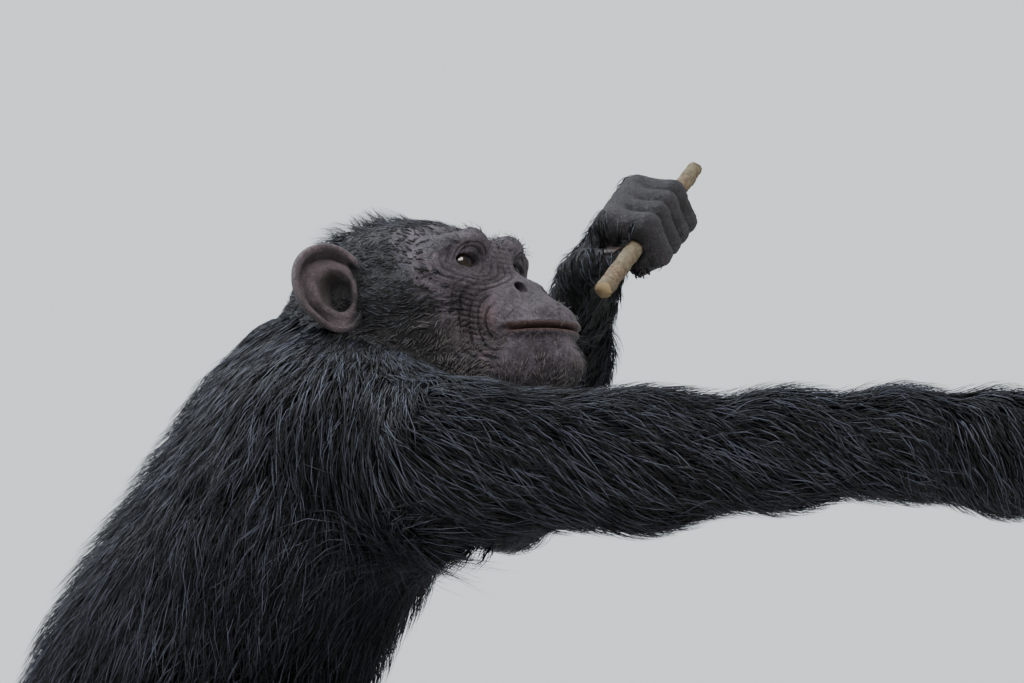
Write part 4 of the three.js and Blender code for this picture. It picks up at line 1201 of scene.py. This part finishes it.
def tufted(draw, roots):
    """The number of each strand's tuft, and the middle of each tuft."""
    cells = np.floor((roots + draw.uniform(-2, 2, roots.shape)) / TUFT_SIZE).astype(int)
    tuft = np.unique(cells, axis=0, return_inverse=True)[1].ravel()
    many = np.bincount(tuft)[:, None]
    return tuft, np.stack([np.bincount(tuft, roots[:, i]) for i in range(3)], 1) / many


def strand_faces(count):
    """Triangles of closed three-sided strands that end in a point."""
    faces = [(0, 2, 1)]
    for r in (0, 3):
        for u, v in ((0, 1), (1, 2), (2, 0)):
            faces += [(r + u, r + v, r + 3 + v), (r + u, r + 3 + v, r + 3 + u)]
    faces += [(6, 7, 9), (7, 8, 9), (8, 6, 9)]
    return (np.array(faces)[None] + (np.arange(count) * sum(HAIR_RINGS))[:, None, None]).reshape(-1, 3)


def hair_piece(name, weight, count, length, width, depth, lie, axis, seed,
               sag=0.0, pull=0.5, pale=0.0, spread=0.2):
    """One piece of the coat. Lengths, depths and paleness may change with the root's place."""
    draw = np.random.default_rng(seed)
    roots = rooted(draw, weight, count)
    tuft, center = tufted(draw, roots)
    tuft_turn = draw.normal(0, spread, len(center))
    tuft_size = draw.uniform(0.78, 1.15, len(center))
    under = draw.random(count) < UNDER_SHARE
    near_head = calm(roots)
    long = shared(length, roots) * tuft_size[tuft] * draw.uniform(0.65, 1.15, count)
    long = long * (0.5 + 0.5 * near_head)
    stand = np.where(under, draw.uniform(0.2, 0.5, count), draw.uniform(0.4, 1, count))
    high = shared(depth, roots) * near_head * stand
    value, normal = slope_at(roots)
    here = roots - value[:, None] * normal * (np.abs(value) < 12)[:, None]
    heading = lie(roots)
    heading = unit(heading - (heading * normal).sum(1)[:, None] * normal)
    turn = tuft_turn[tuft] + draw.normal(0, 0.16, count)
    heading = unit(heading * np.cos(turn)[:, None] + np.cross(normal, heading) * np.sin(turn)[:, None])
    rings, fall = [], np.array((0, 0, -1.0))
    wave = draw.uniform(0, 6.3, count)
    swing = draw.uniform(0.3, 1.6, count) * (long / 60)
    for i, rise in enumerate(HAIR_RISE):
        if i:
            step = (HAIR_STEPS[i] - HAIR_STEPS[i - 1]) * long
            here = here + heading * step[:, None]
            value, normal = slope_at(here)
            # hair lies on the form, but where it has left it, hair hangs free
            cling = np.where(value > 0, 1 - sag, 1.0) * np.clip(value, -30, 30)
            here = here - cling[:, None] * normal
            heading = unit(heading + sag * 0.8 * fall)
            heading = unit(heading - ((1 - sag) * (heading * normal).sum(1))[:, None] * normal)
        toward = (center[tuft] - roots) * (pull * HAIR_STEPS[i] ** 1.3)
        middle = here + toward - ((toward * normal).sum(1))[:, None] * normal
        middle = middle + normal * (rise * high)[:, None]
        flat = np.cross(normal, heading)
        middle = middle + flat * (swing * HAIR_STEPS[i] * 2 * np.sin(wave + 2.6 * i))[:, None]
        if i == len(HAIR_RISE) - 1:
            rings.append(middle[:, None])
            break
        wide = width * HAIR_TAPER[i] / 2 * np.where(under, UNDER_WIDTH, OVER_WIDTH)
        wide = wide * draw.uniform(0.75, 1.2, count)
        side = flat * wide[:, None]
        rings.append(np.stack([middle - side, middle + side, middle + normal * (wide * 0.7)[:, None]], 1))
    verts = np.concatenate(rings, 1)
    verts[:, :, 2] = np.maximum(verts[:, :, 2], HAIR_OFF_FLOOR)
    each, steps, faces = sum(HAIR_RINGS), np.repeat(HAIR_STEPS, HAIR_RINGS), strand_faces(count)
    piece = mesh_object(name, verts.reshape(-1, 3), faces)
    # painted sheen: a random value for each fine strand, how strongly it is painted bluish grey; the broad
    # strands under them get none
    value_at_verts(piece, "strand_sheen", np.repeat(np.where(under, 0, draw.random(count)), each))
    value_at_verts(piece, "tipward", np.tile(steps, count))
    value_at_verts(piece, "pale", np.repeat(shared(pale, roots), each))
    patch = np.stack([[0, 1, 0.5] * 3 + [0.5], steps], 1)
    spots = (round_axis(axis, roots)[:, None] + 0.003 * patch[None]).reshape(-1, 2)[faces.ravel()]
    layer = piece.data.uv_layers.new(name="OFBake")
    layer.data.foreach_set("uv", spots.astype(np.float32).ravel())
    piece.data.materials.append(coat_material)
    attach(piece, "root")


coat_material, shader, tree = new_material("black_hair", Roughness=0.5)
shader.inputs["Specular IOR Level"].default_value = 0.4
strand_sheen, tipward = masked(tree, "strand_sheen"), masked(tree, "tipward")
# painted sheen: strands with a high value are painted bluish grey, standing in for light glancing off black
# hair
tone = strand_sheen.between(0.45, 1.0).mix(rgb(11, 11, 14), rgb(84, 88, 104))
# more painted sheen towards the tips of those strands
tone = (tipward.between(0.4, 1.0) * strand_sheen * 0.4).mix(tone, rgb(104, 102, 112))
# the beard's paleness is the hair's own colour, set stronger on the strands with painted sheen
tone = (masked(tree, "pale") * (strand_sheen * 0.6 + 0.4)).mix(tone, rgb(136, 129, 127))
connect(shader, Base_Color=tone)

trunk_line = [(2, 0, 60), (70, 0, 220), (140, 0, 345), TRUNK_TIP]
head_line = [from_head(np.array([spot], float))[0] for spot in ((-70, 0, 0), (10, 0, -10), (130, 0, -50))]


def trunk_lie(p):
    aside = np.sign(p[:, 1])
    out = np.stack([np.full(len(p), -0.45), 0.25 * aside * (p[:, 2] > 300), np.full(len(p), -0.85)], 1)
    shoulder = smooth(p[:, 2], 330, 420) * smooth(np.abs(p[:, 1]), 40, 110) * smooth(p[:, 0], 150, 240)
    return out + shoulder[:, None] * np.stack([np.full(len(p), 0.7), 0.5 * aside, np.full(len(p), -0.2)], 1)


def trunk_depth(p):
    return 26 - 15 * smooth(p[:, 0], 150, 240) * smooth(p[:, 2], 380, 440)


def neck_lie(p):
    back = smooth(230 - p[:, 0], 0, 60)
    return np.stack([-0.55 * back - 0.15, 0.25 * np.sign(p[:, 1]), np.full(len(p), -0.8)], 1)


def limb_lie(joints, outward, down):
    def lie(p):
        return along_limb(joints, p)[0] * outward + np.array((0, 0, -down))
    return lie


def head_lie(p):
    q = to_head(p)
    jaw = smooth(-q[:, 2], 20, 50)
    way = np.stack([-1 + 0.5 * jaw, 0.25 * np.sign(q[:, 1]), 0.25 - 1.2 * jaw], 1)
    return way @ HEAD_TURN.T


def on(part):
    return (nearest == part) * hairy


def off_fist(p):
    return smooth(np.linalg.norm(p - BRANCH_AT, axis=1), 60, 120)


SHOULDERS_FROM = 330  # height where the back's coat ends and the shoulders' begins
FRINGE_HEIGHTS, FRINGE_ASIDE = (300, 385), 60
UPPER_ARM_TO, FOREARM_FROM = 590, 570  # their coats overlap at the elbow
rise, aside = middles[:, 2], np.abs(middles[:, 1])
near = middles[:, 1] < 20
back, shoulders = on(TRUNK) * (rise < SHOULDERS_FROM), on(TRUNK) * (rise >= SHOULDERS_FROM)
fringe = on(TRUNK) * (rise > FRINGE_HEIGHTS[0]) * (rise < FRINGE_HEIGHTS[1]) * (aside > FRINGE_ASIDE)
upper_right = on(RIGHT_ARM) * (middles[:, 0] < UPPER_ARM_TO)
lower_right = on(RIGHT_ARM) * (middles[:, 0] >= FOREARM_FROM)
# name, where it grows, strands, their length and width, the coat's depth, seed, sag and pull
TRUNK_COAT = [
    ("back_near", back * near, 8500, 62, 1.9, 24, 1, 0.12, 0.5),
    ("back_far", back * ~near, 5000, 66, 2.4, 26, 2, 0.12, 0.5),
    ("shoulders_near", shoulders * near, 11500, 58, 1.6, trunk_depth, 3, 0.2, 0.5),
    ("shoulders_far", shoulders * ~near, 5500, 60, 2.1, trunk_depth, 4, 0.2, 0.5),
    ("fringe_near", fringe * near, 4000, 88, 1.4, 28, 13, 0.5, 0.75),
    ("fringe_far", fringe * ~near, 1800, 84, 2.0, 26, 14, 0.5, 0.75),
]
for name, grows, count, length, width, depth, seed, sag, pull in TRUNK_COAT:
    hair_piece("coat_" + name, grows, count, length, width, depth, trunk_lie, trunk_line, seed, sag, pull)
hair_piece("coat_neck", on(NECK), 7500, 40, 1.4, 22, neck_lie, trunk_line, 5, sag=0.1)
hair_piece("coat_upper_arm_right", upper_right, 10500, 46, 1.4, 12, limb_lie(ARMS["right"], 0.95, 0.35),
           ARMS["right"], 6, sag=0.25)
hair_piece("coat_forearm_right", lower_right, 8000, 36, 1.3, 11, limb_lie(ARMS["right"], 0.5, 0.7),
           ARMS["right"], 7, sag=0.3)
hair_piece("coat_arm_left", on(LEFT_ARM), 8000, lambda p: 14 + 22 * off_fist(p), 1.4,
           lambda p: 5 + 7 * off_fist(p), limb_lie(ARMS["left"], 0.1, 0.9), ARMS["left"], 8, sag=0.1)
for side, part, seed in (("right", RIGHT_LEG, 9), ("left", LEFT_LEG, 10)):
    hair_piece("coat_leg_" + side, on(part), 4200, 46, 2.3, 15, limb_lie(legs[side], 0.8, 0.45),
               legs[side], seed, sag=0.1)


def crown_length(p):
    q = to_head(p)
    return 8 + 12 * smooth(q[:, 2], 38, 58) + 8 * smooth(-q[:, 2], 0, 30)


def crown_depth(p):
    q = to_head(p)
    return (2.5 + 16 * smooth(q[:, 2], 42, 60) * smooth(34 - q[:, 0], 0, 30)) / np.maximum(calm(p), 0.35)


JAW_TO, BROW_HEIGHTS = -30, (16, 36)  # heights in the head's frame
head_rise = local[:, 2]
hair_piece("coat_head", on(HEAD) * (head_rise > JAW_TO), 8500, crown_length, 0.9, crown_depth, head_lie,
           head_line, 11, pull=0.3, spread=0.3, pale=0.1)
jaw = (nearest == HEAD) * (1 - masks["ear"]) * (head_rise <= JAW_TO) * (0.15 * masks["face"] + hairy)
jaw *= 1 + 4 * smooth(-head_rise, 66, 80)
hair_piece("coat_jaw", jaw * (masks["lip"] < 0.1), 6000, 11, 0.7, 10, head_lie, head_line, 12,
           pull=0.25, spread=0.4, pale=lambda p: 0.25 + 0.6 * smooth(to_head(p)[:, 0], 20, 70))
brows = (head_rise > BROW_HEIGHTS[0]) * (head_rise < BROW_HEIGHTS[1])
brows = brows * (local[:, 0] > 62) * (face_field(local) > -1)
hair_piece("coat_brow", brows, 240, 12, 0.55, 20, head_lie, head_line, 15, pull=0.1, spread=0.6, pale=0.3)


# Floor and studio: a plain pale floor, broad soft light from above and in front, and a camera low on
# the animal's right, level with its chest and looking very slightly up, as in the photograph.
FLOOR_HALF = 6000
floor_corners = FLOOR_HALF * np.array([(-1, -1, 0), (1, -1, 0), (1, 1, 0), (-1, 1, 0)])
floor = mesh_object("floor", floor_corners, np.array([(0, 1, 2, 3)]), rounded=False)
material, shader, tree = new_material("pale_floor", Roughness=0.7)
place = tree.node("ShaderNodeTexCoord", out=3)
connect(shader, Base_Color=noise(tree, place, 3, 3).mix(rgb(214, 213, 208), rgb(226, 225, 221)))
floor.data.materials.append(material)

world = bpy.data.worlds.new("studio")
world.use_nodes = True
world.node_tree.nodes["Background"].inputs["Color"].default_value = (*rgb(206, 212, 216), 1)
WORLD_LIGHT, BACKDROP_EXTRA = 0.42, 1.3  # the backdrop is paler to the camera than the light it gives
seen = Link(world.node_tree, None).node("ShaderNodeLightPath")
backdrop = seen * BACKDROP_EXTRA + WORLD_LIGHT
world.node_tree.links.new(backdrop.socket, world.node_tree.nodes["Background"].inputs["Strength"])
bpy.context.scene.world = world


def soft_light(name, place, toward, size, power, color=(1, 1, 1)):
    data = bpy.data.lights.new(name, "AREA")
    data.size, data.energy, data.color = size, power, color
    lamp = bpy.data.objects.new(name, data)
    lamp.location = place
    lamp.rotation_euler = (Vector(toward) - Vector(place)).to_track_quat("-Z", "Y").to_euler()
    bpy.context.scene.collection.objects.link(lamp)


soft_light("key", (0.9, -1.7, 2.4), (0.25, 0, 0.45), 1.2, 58, (1, 0.98, 0.95))
soft_light("sky", (-0.9, 0.6, 2.3), (0.2, 0, 0.4), 1.4, 55, (0.84, 0.92, 1))
soft_light("fill", (-0.8, -2.6, 1.0), (0.2, 0, 0.4), 1.6, 10, (0.92, 0.96, 1))

CAMERA_AWAY, CAMERA_UP = 6.0, 2.5  # metres, and degrees that it looks up
CAMERA_AIM = Vector((0.308, 0, 0.488))
SENSOR_WIDTH = 36
FRAME_WIDTH = 0.748  # metres across the frame at the animal
lens = bpy.data.cameras.new("camera")
lens.sensor_width = SENSOR_WIDTH
lens.lens = SENSOR_WIDTH * CAMERA_AWAY / FRAME_WIDTH
lens.clip_end = 100
camera = bpy.data.objects.new("camera", lens)
look = Vector((0, math.cos(math.radians(CAMERA_UP)), math.sin(math.radians(CAMERA_UP))))
camera.location = CAMERA_AIM - look * CAMERA_AWAY
camera.rotation_euler = look.to_track_quat("-Z", "Y").to_euler()
bpy.context.scene.collection.objects.link(camera)
bpy.context.scene.camera = camera
